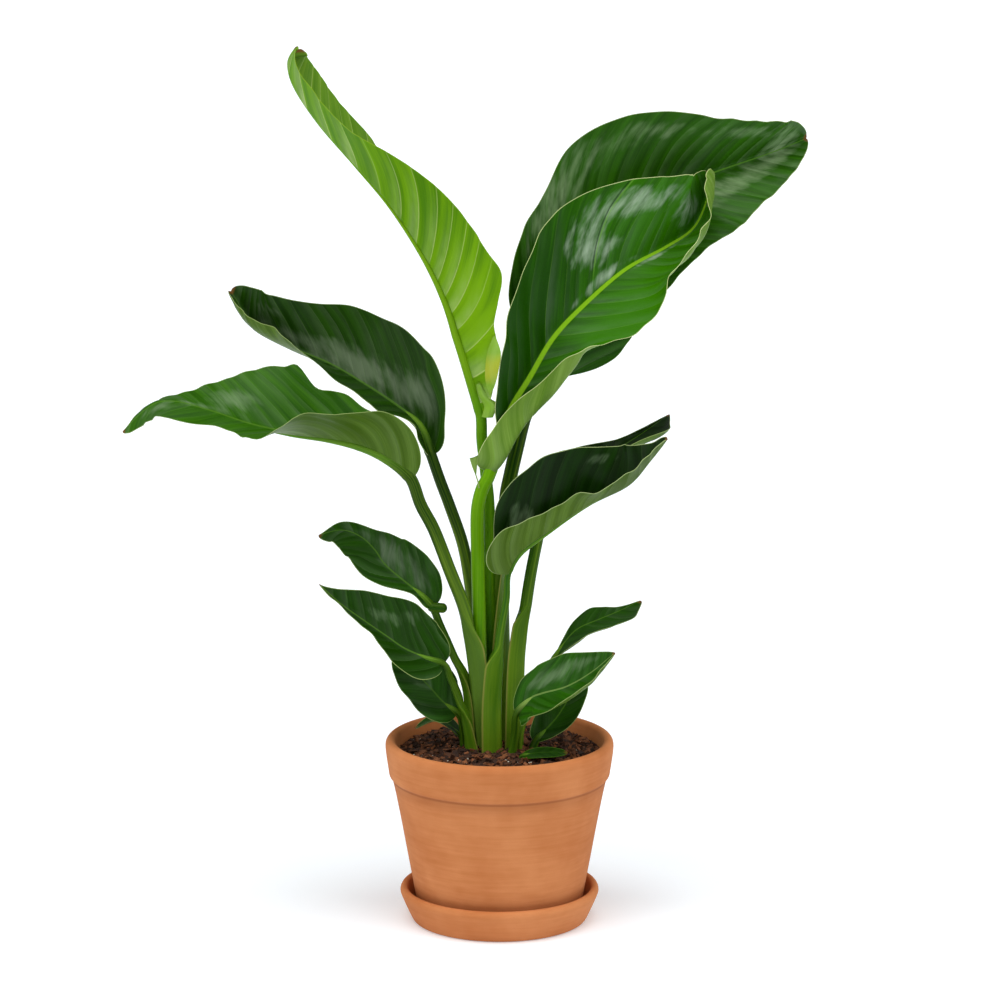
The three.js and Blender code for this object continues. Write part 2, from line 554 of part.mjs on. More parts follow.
function potGeometry() {
  const foot = SAUCER_FLOOR;
  const floor = foot + POT_FLOOR;
  return turned([
    [DRAIN_RADIUS, foot], [POT_FOOT_RADIUS - 2, foot], [POT_FOOT_RADIUS, foot + 2],
    [RIM_RADIUS - 7.6, COLLAR_BOTTOM], [RIM_RADIUS - 4, COLLAR_BOTTOM + 2.5],
    [RIM_RADIUS - 3.4, COLLAR_BOTTOM + 6],
    [RIM_RADIUS, RIM_HEIGHT - 8.5], [RIM_RADIUS - 1, RIM_HEIGHT - 2.5], [RIM_RADIUS - 5, RIM_HEIGHT],
    [RIM_RADIUS - 9, RIM_HEIGHT - 2], [RIM_RADIUS - 10.5, RIM_HEIGHT - 6.5],
    [RIM_RADIUS - 12, RIM_HEIGHT - 13.5],
    [RIM_RADIUS - 16, COLLAR_BOTTOM], [POT_FOOT_RADIUS - 8, floor + 2], [POT_FOOT_RADIUS - 10, floor],
    [DRAIN_RADIUS, floor], [DRAIN_RADIUS, foot],
  ]);
}

function saucerGeometry() {
  const r = SAUCER_RADIUS;
  const h = SAUCER_HEIGHT;
  return turned([
    [0, 0], [r - 12.7, 0], [r - 10.7, 1.5], [r - 0.7, h - 7.5], [r, h - 4], [r - 1.7, h - 0.7], [r - 4.2, h],
    [r - 6.7, h - 1], [r - 8.2, h - 4.5], [r - 13.7, SAUCER_FLOOR + 2], [r - 15.7, SAUCER_FLOOR],
    [0, SAUCER_FLOOR],
  ]);
}

// Height of the soil over its edge: a low crown with small lumps that fade out at the pot wall
function soilHeight(x, y) {
  const inner = 1 - Math.hypot(x, y) / SOIL_RADIUS;
  const small = Math.sin(0.11 * x + 1) * Math.cos(0.13 * y);
  const broad = Math.sin(0.07 * (x + y)) * Math.cos(0.09 * (x - y));
  const crown = SOIL_CROWN * THREE.MathUtils.smoothstep(inner, 0, 0.8);
  return crown + SOIL_RELIEF * (small + broad) * Math.min(1, 4 * inner);
}

function soilGeometry() {
  const floor = SAUCER_FLOOR + POT_FLOOR;
  const rings = SOIL_RINGS.map((share) => [SOIL_RADIUS * share, SOIL_EDGE]);
  const geometry = turned([
    [0, floor], [POT_FOOT_RADIUS - 10.6, floor], [POT_FOOT_RADIUS - 8.4, floor + 2],
    [RIM_RADIUS - 16.4, COLLAR_BOTTOM], [SOIL_RADIUS, SOIL_EDGE], ...rings,
  ]);
  const position = geometry.attributes.position;
  for (let i = 0; i < position.count; i += 1) {
    if (position.getZ(i) > SOIL_EDGE - 0.1) {
      position.setZ(i, SOIL_EDGE + soilHeight(position.getX(i), position.getY(i)));
    }
  }
  return geometry;
}

function named(name, geometry, color, roughness) {
  const mesh = new THREE.Mesh(geometry, new THREE.MeshStandardMaterial({ color, roughness, metalness: 0 }));
  mesh.name = name;
  return mesh;
}

const plant = new THREE.Group();
plant.add(named('saucer', saucerGeometry(), 0xd08a5c, 0.85));
plant.add(named('pot', potGeometry(), 0xd48f60, 0.85));

const rooms = [];
for (const [name, leaf] of Object.entries(LEAVES)) {
  const axis = new Axis(leaf);
  let solid = toSolid(bladeOf(leaf, axis)).add(toSolid(stemOf(leaf, axis, leaf.rows - 1)));
  if (leaf.spur) {
    solid = solid.add(toSolid(spurOf(leaf.spur)));
  }
  for (const room of rooms) {
    solid = solid.subtract(room);
  }
  plant.add(named(name, toGeometry(largest(solid)), leaf.colour, 0.45));
  rooms.push(toSolid(stemOf(leaf, axis, 1, GAP)));
}

const soil = rooms.reduce((solid, room) => solid.subtract(room), toSolid(soilGeometry()));
plant.add(named('potting_soil', toGeometry(largest(soil)), 0x3a2618, 0.95));

export default plant;
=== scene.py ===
# The looks of a potted bird of paradise: fifteen leaves in bark soil, in a clay pot on its saucer.
# Sizes below are in millimetres, as in the CAD model, and every mesh is made in metres.
import math
from typing import NamedTuple

import bpy
import numpy as np
from mathutils import Euler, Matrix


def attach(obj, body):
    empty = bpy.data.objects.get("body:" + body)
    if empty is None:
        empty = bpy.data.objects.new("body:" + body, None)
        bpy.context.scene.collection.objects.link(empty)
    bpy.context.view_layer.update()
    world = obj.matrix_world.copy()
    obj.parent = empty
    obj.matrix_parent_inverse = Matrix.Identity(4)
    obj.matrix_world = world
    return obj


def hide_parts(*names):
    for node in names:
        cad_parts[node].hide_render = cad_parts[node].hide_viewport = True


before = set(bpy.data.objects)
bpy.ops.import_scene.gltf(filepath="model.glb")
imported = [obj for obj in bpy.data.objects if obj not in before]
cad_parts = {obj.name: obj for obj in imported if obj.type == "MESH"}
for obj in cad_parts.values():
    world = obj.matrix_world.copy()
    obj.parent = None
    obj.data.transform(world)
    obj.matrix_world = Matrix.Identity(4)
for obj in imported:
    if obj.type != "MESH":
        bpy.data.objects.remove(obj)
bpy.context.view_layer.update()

MM = 0.001
FULL_TURN = 2 * math.pi
LEAF_SEED = 100
SOIL_SEED = 7
WHITE = (1.0, 1.0, 1.0, 1.0)

# Camera, in metres from the middle of the saucer's underside
CAMERA_AT = (0.0, -4.0, 1.262)
CAMERA_PITCH_DEG = 12.25
CAMERA_LENS = 162.6
CAMERA_SHIFT_X = 0.0005
CAMERA_FAR = 200.0

# Lights, each with its direction of arrival in degrees, its strength and its angular size in degrees
WORLD_STRENGTH = 0.25
LIGHTS = {
    "left_light": {"azimuth": -66, "height": 40, "strength": 1.25, "size": 70},
    "right_light": {"azimuth": 68, "height": 40, "strength": 1.25, "size": 70},
    "top_light": {"azimuth": -10, "height": 72, "strength": 1.4, "size": 40},
}
LIGHT_COLOUR = (1.0, 0.985, 0.95)
FLOOR_SIZE = 60.0
FLOOR_COLOUR = "f0f7ff"
FLOOR_ROUGHNESS = 0.9
FLOOR_GLOW = 0.165

# Pot, saucer and soil, as in the CAD model
RIM_RADIUS = 105.0
RIM_HEIGHT = 171.5
POT_FOOT_RADIUS = 75.0
POT_FLOOR = 8.0
COLLAR_BOTTOM = 134.0
DRAIN_RADIUS = 10.0
SAUCER_RADIUS = 91.7
SAUCER_HEIGHT = 31.5
SAUCER_FLOOR = 7.0
SOIL_RADIUS = 92.6
SOIL_EDGE = 157.5
SOIL_CROWN = 5.0
SOIL_CROWN_REACH = 0.8
SOIL_RELIEF = 1.2
SOIL_WAVES = (0.11, 0.13, 0.07, 0.09)
SOIL_RISE = 4
SOIL_ROUGHNESS = 0.7
SOIL_CALM_EDGE = 4.0
SOIL_RINGS = 60
SOIL_RING_REACH = 0.995
SOIL_HUE = 0.15
MIDDLE_RADIUS = 0.5
TURNED_SIDES = 160
CORNER_PASSES = 3
CORNER_CUT = 0.25

# Bark chips and white grains: their number, lengths, and thickness and width as shares of the length
CHIPS = {"count": 2400, "lengths": (3.0, 12.0), "flat": (0.12, 0.4), "narrow": (0.3, 0.8)}
PERLITE = {"count": 150, "lengths": (1.6, 3.2), "flat": (0.6, 1.0), "narrow": (0.7, 1.0)}
CHIP_EDGE_GAP = 3.0
CHIP_SHRINK = (0.6, 1.0)
CHIP_CORNER_CUT = (0.55, 1.0)
CHIP_ROLL = 0.45
CHIP_PITCH = 0.4
CHIP_LIFT = (0.0, 0.45)
CHIP_HUE_POWER = 1.6

# Blades: their steps, thickness, side veins, pleats, creases and ripples
CREASE = 6.0
WIDTH_STEPS = 64
AXIS_STEPS = 400
AXIS_NUDGE = 0.001
FOOT_U = 0.003
TIP_U = 0.9985
ROW_STEP = 2.2
ROW_EXCESS = 1.15
ROW_CROWDING = 0.12
LEAST_ROWS = 12
COLUMN_STEP = 2.6
COLUMN_CROWDING = 1.3
LEAST_COLUMNS = 4
BLADE_THICKNESS = 0.8
MARGIN_THICKNESS = 0.35
MARGIN_REACH = 8.0
WAVE_SHIFT = 1.1
BROAD_HALF = 60.0
VEIN_SPACING = 20.0
VEIN_SPACING_LEAST = 0.45
VEIN_GAPS = (0.6, 1.4)
VEIN_COUNT = 80
VEINS_BEFORE_FOOT = 0.25
RIGHT_VEINS_FROM = 200
VEIN_LEAN_DEG = 43.0
VEIN_CURVE = 0.22
VEIN_PASSES = 12
FOOT_LEAN_REACH = 0.42
PLEAT_HEIGHT = 0.9
PLEAT_SHAPE = (0.35, 0.9)
PLEAT_RISES = (0.35, 1.0)
PLEAT_FULL_HALF = 50.0
PLEAT_START = 1.5
PLEAT_REACH = 8.0
CREASE_DEPTH = 1.4
CREASE_FADE = 12.0
CREASE_WIDTH = 4.0
RIPPLE_HEIGHT = 0.7
RIPPLE_LENGTHS = (23.0, 41.0, 67.0)
RIPPLE_LEAN = 0.4
RIPPLE_END = 6

# Stalks, ribs, stubs and loose ends
STALK_STEP = 3.5
STALK_SIDES = 36
LEAST_STALK_ROWS = 8
LEAST_RIB_ROWS = 12
RIB_END = 0.985
RIB_TAPER = 2.0
RIB_LEAST = 0.5
RIB_PROUD = 0.3
RIB_SINK_SHARE = 0.2
RIB_BAND_SHARE = 0.36
RIB_BAND_POWER = 0.6
RIB_BAND_LEAST = 0.35
SHEATH_EDGE_POWER = 40
SPUR_ROWS = 21
SPUR_TILT_DEG = 85
FLAP_ROWS = 24
FLAP_COLUMNS = 7
FLAP_THICKNESS = 0.3
FLAP_BULGE = 0.3
FLAP_PHASE = 0.3
FLAP_VEIN_REACH = 20.0
FLAP_BAND = 9.0
FLAP_MARGIN = 0.3
FLAP_TIP = 50.0

# The ways that the upper face of a leaf may look at the foot of its stalk
LEFT = [-1, 0, 0]
RIGHT = [1, 0, 0]


class Side(NamedTuple):
    """One half of a blade. What changes along the rib has its values at even steps to the tip."""

    widest: float  # greatest width
    powers: list  # powers of the outline at the foot and the tip
    fold: list  # degrees towards the upper face, beside the rib
    trim: list = [1]  # how far the outline is cut back or let out
    curl: list = [0]  # further degrees towards the upper face, out to the margin
    bend: list = []  # where across the half the curl starts, and where it ends


class Sheath(NamedTuple):
    """The sheath round a stalk's foot. Each arm has its reach and its bend to the upper face."""

    top: float
    fade: float
    thick: float
    left: list
    right: list


class Leaf(NamedTuple):
    """A leaf, with its halves left and right as seen on the upper face looking to the tip."""

    stalk: list  # points from the soil to the blade
    rib: list  # points from there to the tip
    toward: list  # the way the upper face looks at the foot of the stalk
    face: list  # the way it looks along the rib
    wave: list  # height and count of the waves along the margin
    stem: list  # radius at the foot of the stalk and of the blade
    left: Side
    right: Side
    sweep: list = [-5, 35]  # how far the rows lean to the tip at the rib's foot and tip, in degrees
    root: float = 125  # height of the stalk's end in the soil
    sheath: Sheath = Sheath(0, 1, 0, [0, 0], [0, 0])
    spur: list = []  # the ends and radius of a short round-ended stub


LEAVES = {}
LEAVES["trough_leaf"] = Leaf(
    stalk=[[-3, -17, 150], [-4, -17, 211], [0, -18, 267], [6, -20, 305]],
    rib=[[8, -24, 331], [19, -28, 352.5], [47, -36, 375.5], [80, -45, 399.5], [115, -55, 419.5],
        [134, -62, 443], [149, -68, 464]],
    toward=LEFT, face=[[-0.55, -0.3, 0.75]], wave=[3, 3], stem=[6.5, 2.8],
    sheath=Sheath(264, 22, 6, [7, 7], [8, 12.5]),
    left=Side(56, [0.45, 0.65], fold=[75, 75, 75, 72, 55, 45, 45],
        trim=[0.9, 0.7, 1, 1.08, 1.06, 1.1, 1.02, 0.89, 0.83, 0.8, 0.62, 0.48, 0.6]),
    right=Side(50, [0.35, 0.65], fold=[78, 78, 72, 60, 50, 46, 46],
        trim=[1, 0.88, 0.8, 0.62, 0.5, 0.53, 0.75, 0.55, 0.7, 0.8, 0.8, 0.85, 1]),
)
LEAVES["low_left_leaf"] = Leaf(
    stalk=[[-15, -8, 150], [-18, -9, 181], [-21, -10, 212], [-24, -10, 241], [-28, -12, 271],
        [-32, -13, 296], [-45, -17, 332], [-59, -20, 370], [-71, -22, 394]],
    rib=[[-80, -25, 419], [-97, -28, 437], [-121, -32, 451], [-152, -36, 459], [-187, -40, 464],
        [-223, -45, 473], [-258, -50, 486], [-289, -55, 495], [-310, -60, 492], [-335, -65, 470]],
    toward=RIGHT, face=[[0.3, -0.3, 0.85], [0.1, -0.5, 0.85], [-0.2, -0.5, 0.85]], wave=[2, 3],
    stem=[6.5, 5.5], sheath=Sheath(298, 42, 5, [7, 13], [6, 6]),
    left=Side(55, [0.5, 0.7], fold=[120, 100, 72, 58, 30, 20, 15, 11, 10],
        trim=[1, 1, 1, 0.97, 1.08, 1.22, 1.2, 0.6, 0.6, 1.05, 1.05, 0.85, 1]),
    right=Side(60, [0.9, 1.6], fold=[40, 40, 34, 30, 20, 5, -20, -40, -40], trim=[1, 0.83, 0.7, 0.68, 0.7,
        0.68, 0.78, 0.76, 0.78, 1.11, 1.09, 1.13, 1.12, 1.09, 1.05, 0.99, 0.92, 0.83, 0.76, 0.74, 0.84,
        0.95, 1.1, 1.1, 1]),
)
LEAVES["curled_left_leaf"] = Leaf(
    stalk=[[-25, -21, 150], [-31, -22, 194], [-35, -24, 207], [-40, -27, 222], [-45, -31, 236]],
    rib=[[-50, -36, 249], [-68, -36, 256], [-86, -36, 264], [-103, -36, 276], [-124, -36, 291],
        [-144, -36, 306], [-163, -36, 324]],
    toward=RIGHT, face=[[0.25, -0.75, 0.6]], wave=[1, 3], stem=[4.5, 3],
    sheath=Sheath(212, 22, 4, [5, 8], [4, 3]),
    left=Side(34, [0.4, 0.65], fold=[15, 20, 30, 38, 42, 42, 42],
        trim=[1, 1, 0.73, 0.42, 0.2, 0.15, 0.15]),
    right=Side(34, [0.4, 0.9], fold=[20, 15, 10, 10, 20, 40, 50], trim=[1, 1.15, 1.25, 1.1, 1, 0.8, 0.4]),
)
LEAVES["front_right_leaf"] = Leaf(
    stalk=[[10, -25, 150], [14, -27, 180]],
    rib=[[16, -32, 202], [28, -36, 217], [39, -40, 223], [61, -46, 231], [83, -53, 246], [104, -60, 266]],
    toward=LEFT, face=[[-0.4, -0.7, 0.6]], wave=[1, 2], stem=[4.5, 3.5], sweep=[-12, 35],
    left=Side(30, [0.5, 0.9], fold=[10], trim=[0.55, 0.76, 0.98, 1.12, 1.02, 0.95, 0.9]),
    right=Side(36, [0.35, 0.8], fold=[15, 15, 20], trim=[0.95, 1, 1, 1, 1, 0.95, 0.9], curl=[30, 70, 90]),
)
LEAVES["low_right_leaf"] = Leaf(
    stalk=[[27, -14, 150]],
    rib=[[33, -10, 170], [42, -5, 179], [52, 0, 189], [61, 4, 202], [67, 7, 214], [73, 10, 227]],
    toward=LEFT, face=[[-0.4, -0.7, 0.6], [-0.5, -0.7, 0.4]], wave=[1, 2], stem=[5, 3.5],
    left=Side(20, [0.5, 0.6], fold=[10]),
    right=Side(22, [0.5, 0.6], fold=[10], trim=[0.7, 0.75, 0.85, 1, 1.05, 1.1, 1]),
)
LEAVES["soil_leaf"] = Leaf(
    stalk=[[18, -36, 154]],
    rib=[[20, -36, 163], [30, -38, 166], [44, -38, 167], [62, -36, 166.5]],
    toward=LEFT, face=[[-0.3, -0.4, 0.9], [0, -0.4, 0.9], [0.1, -0.4, 0.9]], wave=[0, 2], stem=[2.5, 2],
    root=140,
    left=Side(7.5, [0.6, 0.7], fold=[10]),
    right=Side(9, [0.6, 0.7], fold=[10]),
)
LEAVES["small_left_leaf"] = Leaf(
    stalk=[[-28, -6, 150], [-29, -6, 206], [-34, -7, 231], [-41, -8, 248], [-48, -9, 265],
        [-54, -9, 279]],
    rib=[[-61, -10, 296], [-72, -7, 308], [-85, -2, 317], [-104, 5, 332], [-114, 11, 345],
        [-127, 16, 356], [-144, 20, 361], [-165, 23, 356]],
    toward=RIGHT, face=[[0.25, -0.75, 0.6]], wave=[1, 3], stem=[4.5, 3.5],
    sheath=Sheath(250, 24, 4, [4.5, 6], [4.5, 4]), spur=([-61, -10, 296], [-52, -11, 295.5], 4.6),
    left=Side(26, [0.45, 0.6], fold=[20, 20, 10, 10, 10], trim=[0.7, 0.35, 0.88, 1.18, 1.2, 0.95, 0.8]),
    right=Side(26, [0.45, 1.1], fold=[10], trim=[1, 1.25, 1.3, 1.2, 0.75, 1, 0.9]),
)
LEAVES["bright_leaf"] = Leaf(
    stalk=[[-12, -1, 150], [-17, -3, 207], [-18, -4, 258], [-19, -5, 302], [-20, -5, 351], [-20, -5, 384],
        [-16, -5, 404]],
    rib=[[-9, -5, 419], [-1, 0, 449], [10, 8, 476], [27, 16, 503], [49, 28, 538], [79, 40, 568],
        [114, 48, 597], [151, 58, 616], [175, 66, 631], [187, 73, 652], [193, 80, 679]],
    toward=LEFT, face=[[-0.1, -0.95, 0.2]], wave=[2, 3], stem=[6.5, 6],
    left=Side(80, [0.75, 0.6], fold=[20, 35, 58, 32, 15, 28, 52, 60],
        trim=[0.6, 0.15, 0.36, 0.75, 0.86, 0.93, 1.04, 1.04, 1, 1, 1.01, 0.85, 0.8]),
    right=Side(66, [0.6, 0.5], fold=[20, 10, 0, 12, 28, 32, 58, 60],
        trim=[2.6, 1.42, 1, 0.95, 0.97, 0.85, 0.97, 1, 0.97, 1.05, 1, 1, 1],
        curl=[165, 175, 178, 50, 20, 95, 110, 110],
        bend=[[0.06, 0.35, 0.3, 0, 0, 0, 0, 0], [0.52, 0.58, 1, 1.2, 1.2, 1.2, 1.2, 1.2]]),
)
LEAVES["shadow_leaf"] = Leaf(
    stalk=[[17, -5, 150], [18, -4, 233], [20, -3, 263], [24, 0, 295], [29, 4, 327], [35, 10, 356]],
    rib=[[41, 15, 383], [57, 22, 398], [78, 31, 415], [103, 41, 429], [128, 50, 443], [155, 58, 461]],
    toward=LEFT, face=[[-0.55, -0.3, 0.75]], wave=[2, 3], stem=[6.5, 5],
    sheath=Sheath(298, 22, 5, [6, 6], [7, 12]),
    left=Side(24, [0.45, 0.9], fold=[50, 50, 50, 60, 65],
        trim=[0.7, 1, 1.35, 1, 0.72, 0.55, 0.5, 0.55, 0.7]),
    right=Side(26, [0.45, 0.65], fold=[10, 10, 5, -10, -15], trim=[1, 1, 1, 1, 1, 1.4, 2.15, 1.75, 1.1],
        curl=[90, 90, 60, 60, 60]),
)
LEAVES["high_left_leaf"] = Leaf(
    stalk=[[-21, 9, 150], [-19, 9, 242], [-21, 9, 270], [-26, 10, 308], [-33, 12, 348], [-45, 15, 384],
        [-54, 17, 408]],
    rib=[[-62, 20, 431], [-72, 28, 457], [-92, 36, 473], [-123, 46, 492], [-155, 56, 509],
        [-192, 66, 523], [-225, 74, 541], [-246, 80, 572]],
    toward=RIGHT, face=[[0.25, -0.75, 0.6]], wave=[2, 3], stem=[6.5, 5],
    left=Side(44, [0.45, 0.6], fold=[50, 40, 15, 22, 58, 60, 50, 40],
        trim=[1, 0.6, 0.5, 0.36, 0.62, 1, 1, 1, 1], curl=[20, 20, 10, 0, 20, 60, 60, 40]),
    right=Side(50, [0.5, 0.6], fold=[66, 58, 34, 20, 34, 54, 58, 50],
        trim=[1, 0.88, 1.34, 1.29, 1.3, 1.24, 1.18, 1.03, 1.02, 1.07, 1.1, 1.08, 1]),
)
LEAVES["tall_leaf"] = Leaf(
    stalk=[[6, 11, 150], [4, 11, 260], [4, 12, 316], [5, 13, 353], [6, 16, 390], [10, 20, 412],
        [16, 28, 437]],
    rib=[[22, 38, 460], [37, 50, 513], [57, 62, 562], [86, 75, 603], [121, 88, 640], [158, 100, 663],
        [194, 110, 676], [247, 125, 692], [283, 135, 705]],
    toward=LEFT, face=[[-0.1, -0.95, 0.25]], wave=[3, 3], stem=[7, 6.5],
    sheath=Sheath(394, 20, 6, [6, 6], [7, 14]),
    left=Side(80, [0.85, 0.75], fold=[66, 62, 44, 12, 22, 48, 64, 64],
        trim=[1, 1.13, 1.15, 1.12, 1.03, 0.97, 1.1, 1.06, 0.97, 0.94, 1.02, 1.12, 1.1]),
    right=Side(78, [0.75, 0.8], fold=[-60, -25, 5, 14, 16, 24, 35, 40],
        trim=[0.3, 0.3, 1.07, 1.09, 1, 1, 0.98, 0.97, 1.04, 0.98, 0.96, 0.98, 1]),
)
LEAVES["new_leaf"] = Leaf(
    stalk=[[-8, 14, 150], [-8, 13, 260], [-9, 12, 316], [-9, 11, 363], [-10, 14, 392], [-13, 15, 419],
        [-16, 15, 446]],
    rib=[[-17, 14, 470], [-24, 14, 500], [-34, 13, 536], [-47, 12, 575], [-67, 12, 615], [-97, 12, 660],
        [-129, 15, 697], [-161, 18, 733], [-183, 22, 765], [-189, 25, 786], [-183, 27, 799]],
    toward=[0.6, 0.8, 0], face=[[0.9, 0.1, 0.4], [0.8, 0, 0.6], [0.8, -0.1, 0.6]], wave=[2, 3],
    stem=[6, 5],
    left=Side(62, [0.6, 0.45], fold=[46, 46, 50, 58, 48, 34, 34, 44], trim=[1, 1.01, 1.02, 1.1, 1.07,
        1.04, 1.23, 1.47, 1.29, 1.17, 1.07, 1.01, 0.97, 0.93, 0.9, 0.86, 0.82, 0.78, 0.75, 0.75, 0.77,
        0.8, 0.84, 0.87, 0.9]),
    right=Side(58, [0.5, 0.35], fold=[20, 20, 20, 22, 26, 32, 44, 60],
        trim=[1, 1, 1, 1, 1, 0.83, 0.81, 0.81, 0.6]),
)
LEAVES["oval_left_leaf"] = Leaf(
    stalk=[[-33, 4, 150], [-34, -1, 180]],
    rib=[[-38, -6, 195], [-52, -8, 207], [-65, -8, 222], [-80, -8, 237], [-94, -8, 253]],
    toward=RIGHT, face=[[0.25, -0.85, 0.5]], wave=[1, 3], stem=[3.5, 3],
    left=Side(26, [0.5, 0.7], fold=[10]),
    right=Side(26, [0.5, 0.7], fold=[10]),
)
LEAVES["rim_left_leaf"] = Leaf(
    stalk=[[-31, 13, 150]],
    rib=[[-36, 14, 168], [-46, 16, 178], [-59, 20, 182], [-78, 25, 173]],
    toward=RIGHT, face=[[0.3, -0.2, 0.9], [0.1, -0.2, 0.9], [-0.4, -0.2, 0.9]], wave=[0, 3],
    stem=[2.5, 2], sweep=[0, 35], root=130,
    left=Side(11, [0.6, 0.8], fold=[20]),
    right=Side(11, [0.6, 0.8], fold=[20]),
)
LEAVES["small_right_leaf"] = Leaf(
    stalk=[[18, -20, 150], [19, -18, 178], [28, -10, 204], [38, -2, 223]],
    rib=[[48, 5, 241], [57, 8, 255], [71, 11, 270], [92, 14, 279], [110, 17, 286], [129, 20, 295]],
    toward=LEFT, face=[[-0.5, -0.6, 0.6], [-0.4, -0.6, 0.7], [-0.2, -0.6, 0.8]], wave=[1, 2],
    stem=[3, 2.8], sweep=[0, 35],
    left=Side(17, [1.4, 0.9], fold=[10, 5, 0, 0, 0],
        trim=[0.3, 0.5, 0.55, 0.85, 1.15, 0.75, 0.42, 0.3, 0.3]),
    right=Side(20, [0.8, 0.6], fold=[10], trim=[1, 1.6, 1.8, 1.45, 1.4, 1.5, 1.45, 1.15, 0.8],
        curl=[60, 60, 50, 40, 40]),
)

# Looks of the leaves, with colours as sRGB. Each face has a colour, a light colour and a pale sheen
# colour that is painted where highlights fall. The pleat sheen is how strongly each gap between side
# veins goes from a painted pale highlight to dark, within its reach of the rib. The highlight patch is
# the strength of the painted sheens, line that of the pale side-vein lines, which are partly the veins'
# own colour and partly a painted highlight, rib_strength that of the rib, and band is the rib's width.
# Pleat and ripple scale the relief, gloss is the roughness and spec the specular level. Foot_lean is
# the side veins' lean at the rib's foot in degrees, and left_veins sets those of the left half one by
# one. Spots make the blade lighter or darker, partly its own tone and partly painted light and shade,
# and sheens are painted highlights that make it pale: each has its u, v, reach along and across, and
# strength. A crease is a groove along a side vein, painted with a dark line of shade and a pale
# highlight beside it: the sign of its half, its place, its start and end from the rib in millimetres,
# and its strength.
GREEN = dict(
    slot="green_leaf", upper="123202", upper_light="2a5a08", sheen="7c9670", saw=0.1, under="3a560c",
    under_light="5c7a2c", under_sheen="8a9c70", under_saw=0.14, saw_reach=120.0, rib="4f7a20",
    vein="5c8240", margin="8a9e5c", line=0.22, pleat=0.45, ripple=1.0, band=0.7, rib_strength=0.6,
    foot_lean=VEIN_LEAN_DEG, stalk_low="4b7410", stalk_high="1c4204", stalk_light="7fa024", gloss=0.3,
    spec=0.09, patch=0.52, spots=[], sheens=[], creases=[],
)
LOOKS = {name: dict(GREEN) for name in LEAVES}
LOOKS["bright_leaf"].update(
    slot="bright_green_leaf", upper="174200", upper_light="337200", under="4c7018", under_light="769640",
    rib="86bc1c", vein="6a9c38", margin="c0cf8c", saw=0.07, stalk_low="3f7400", stalk_high="5c9400",
    stalk_light="86b420", line=0.25, band=1.25, rib_strength=0.9, patch=0.72, sheen="b8ccb4",
    under_sheen="a8bc8a", pleat=0.35, ripple=1.3, creases=[(-1, 187, 6, 95, 0.8)],
    spots=[(0.2, -0.7, 0.3, 0.6, -0.5), (0.47, 0.8, 0.12, 0.3, 0.7), (0.85, -0.5, 0.2, 0.6, 0.3),
        (0.55, 0.4, 0.25, 0.4, 0.2)],
    sheens=[(0.56, -0.5, 0.07, 0.2, 0.36), (0.69, -0.74, 0.12, 0.18, 0.6), (0.6, -0.32, 0.06, 0.14, 0.4),
        (0.84, -0.4, 0.07, 0.25, 0.6), (0.58, -0.08, 0.12, 0.06, 0.5), (0.72, 0.06, 0.08, 0.05, 0.5)],
)
LOOKS["new_leaf"].update(
    slot="yellow_green_leaf", upper="467408", upper_light="6f9626", under="447800", under_light="74a600",
    rib="6f9c10", vein="b8cc74", margin="7ea020", saw=0.15, under_saw=0.5, under_sheen="b4c884", line=0.8,
    ripple=0.3, saw_reach=60.0, stalk_low="356c00", stalk_high="4c8400", stalk_light="7cac1a", gloss=0.38,
    pleat=0.9, foot_lean=8.0, spots=[(0.16, -0.8, 0.06, 0.3, 0.5), (0.25, -0.4, 0.12, 0.5, 0.35)],
    left_veins=[-30, -10, 10, 34, 58, 80, 96, 112, 128, 144, 166, 191, 220, 250, 285, 320, 355, 390, 425],
)
LOOKS["tall_leaf"].update(
    upper="1a4202", upper_light="326a0a", rib="568a26", saw=0.22, sheen="8aa678", pleat=0.6,
    rib_strength=0.8, patch=0.65, stalk_high="103400",
    sheens=[(0.62, -0.78, 0.08, 0.15, 0.4), (0.8, -0.75, 0.08, 0.18, 0.5), (0.92, -0.35, 0.05, 0.5, 0.7),
        (0.75, 0.35, 0.12, 0.25, 0.6), (0.42, -0.8, 0.12, 0.3, 0.6), (0.9, 0.3, 0.08, 0.3, 0.5)],
)
LOOKS["trough_leaf"].update(
    upper="081c00", upper_light="133402", saw=0.05, under="3a5408", under_light="5f7c30", line=0.1,
    pleat=0.3, margin="9fb274", stalk_high="2a5a0e",
    sheens=[(0.2, -0.45, 0.07, 0.25, 0.7), (0.6, -0.75, 0.1, 0.15, 0.35)],
    spots=[(0.75, 0.6, 0.2, 0.6, -0.25), (0.3, 0.5, 0.2, 0.5, 0.1)],
)
LOOKS["shadow_leaf"].update(upper="081c00", upper_light="143202", saw=0.04, line=0.1)
LOOKS["high_left_leaf"].update(
    upper="123002", upper_light="274f08", saw=0.16, sheen="78886e", pleat=0.55,
    stalk_low="5c8020", stalk_high="0c2c04",
    sheens=[(0.62, 0.22, 0.22, 0.2, 0.6), (0.16, 0.45, 0.1, 0.3, 0.6), (0.45, 0.15, 0.1, 0.2, 0.5),
        (0.8, 0.6, 0.1, 0.2, 0.45), (0.3, 0.25, 0.15, 0.25, 0.5)],
)
LOOKS["low_left_leaf"].update(
    upper="1c4a00", upper_light="3c7208", saw=0.16, pleat=0.6, band=0.8,
    sheens=[(0.6, 0.45, 0.1, 0.3, 0.65), (0.72, 0.1, 0.08, 0.15, 0.6), (0.85, -0.3, 0.08, 0.4, 0.5)],
    spots=[(0.3, -0.8, 0.1, 0.5, -0.25)], stalk_low="60842a", stalk_high="143604",
)
LOOKS["curled_left_leaf"].update(
    upper="0f2c00", upper_light="1f4804", sheens=[(0.5, 0.4, 0.15, 0.2, 0.5), (0.3, 0.7, 0.1, 0.2, 0.4)],
)
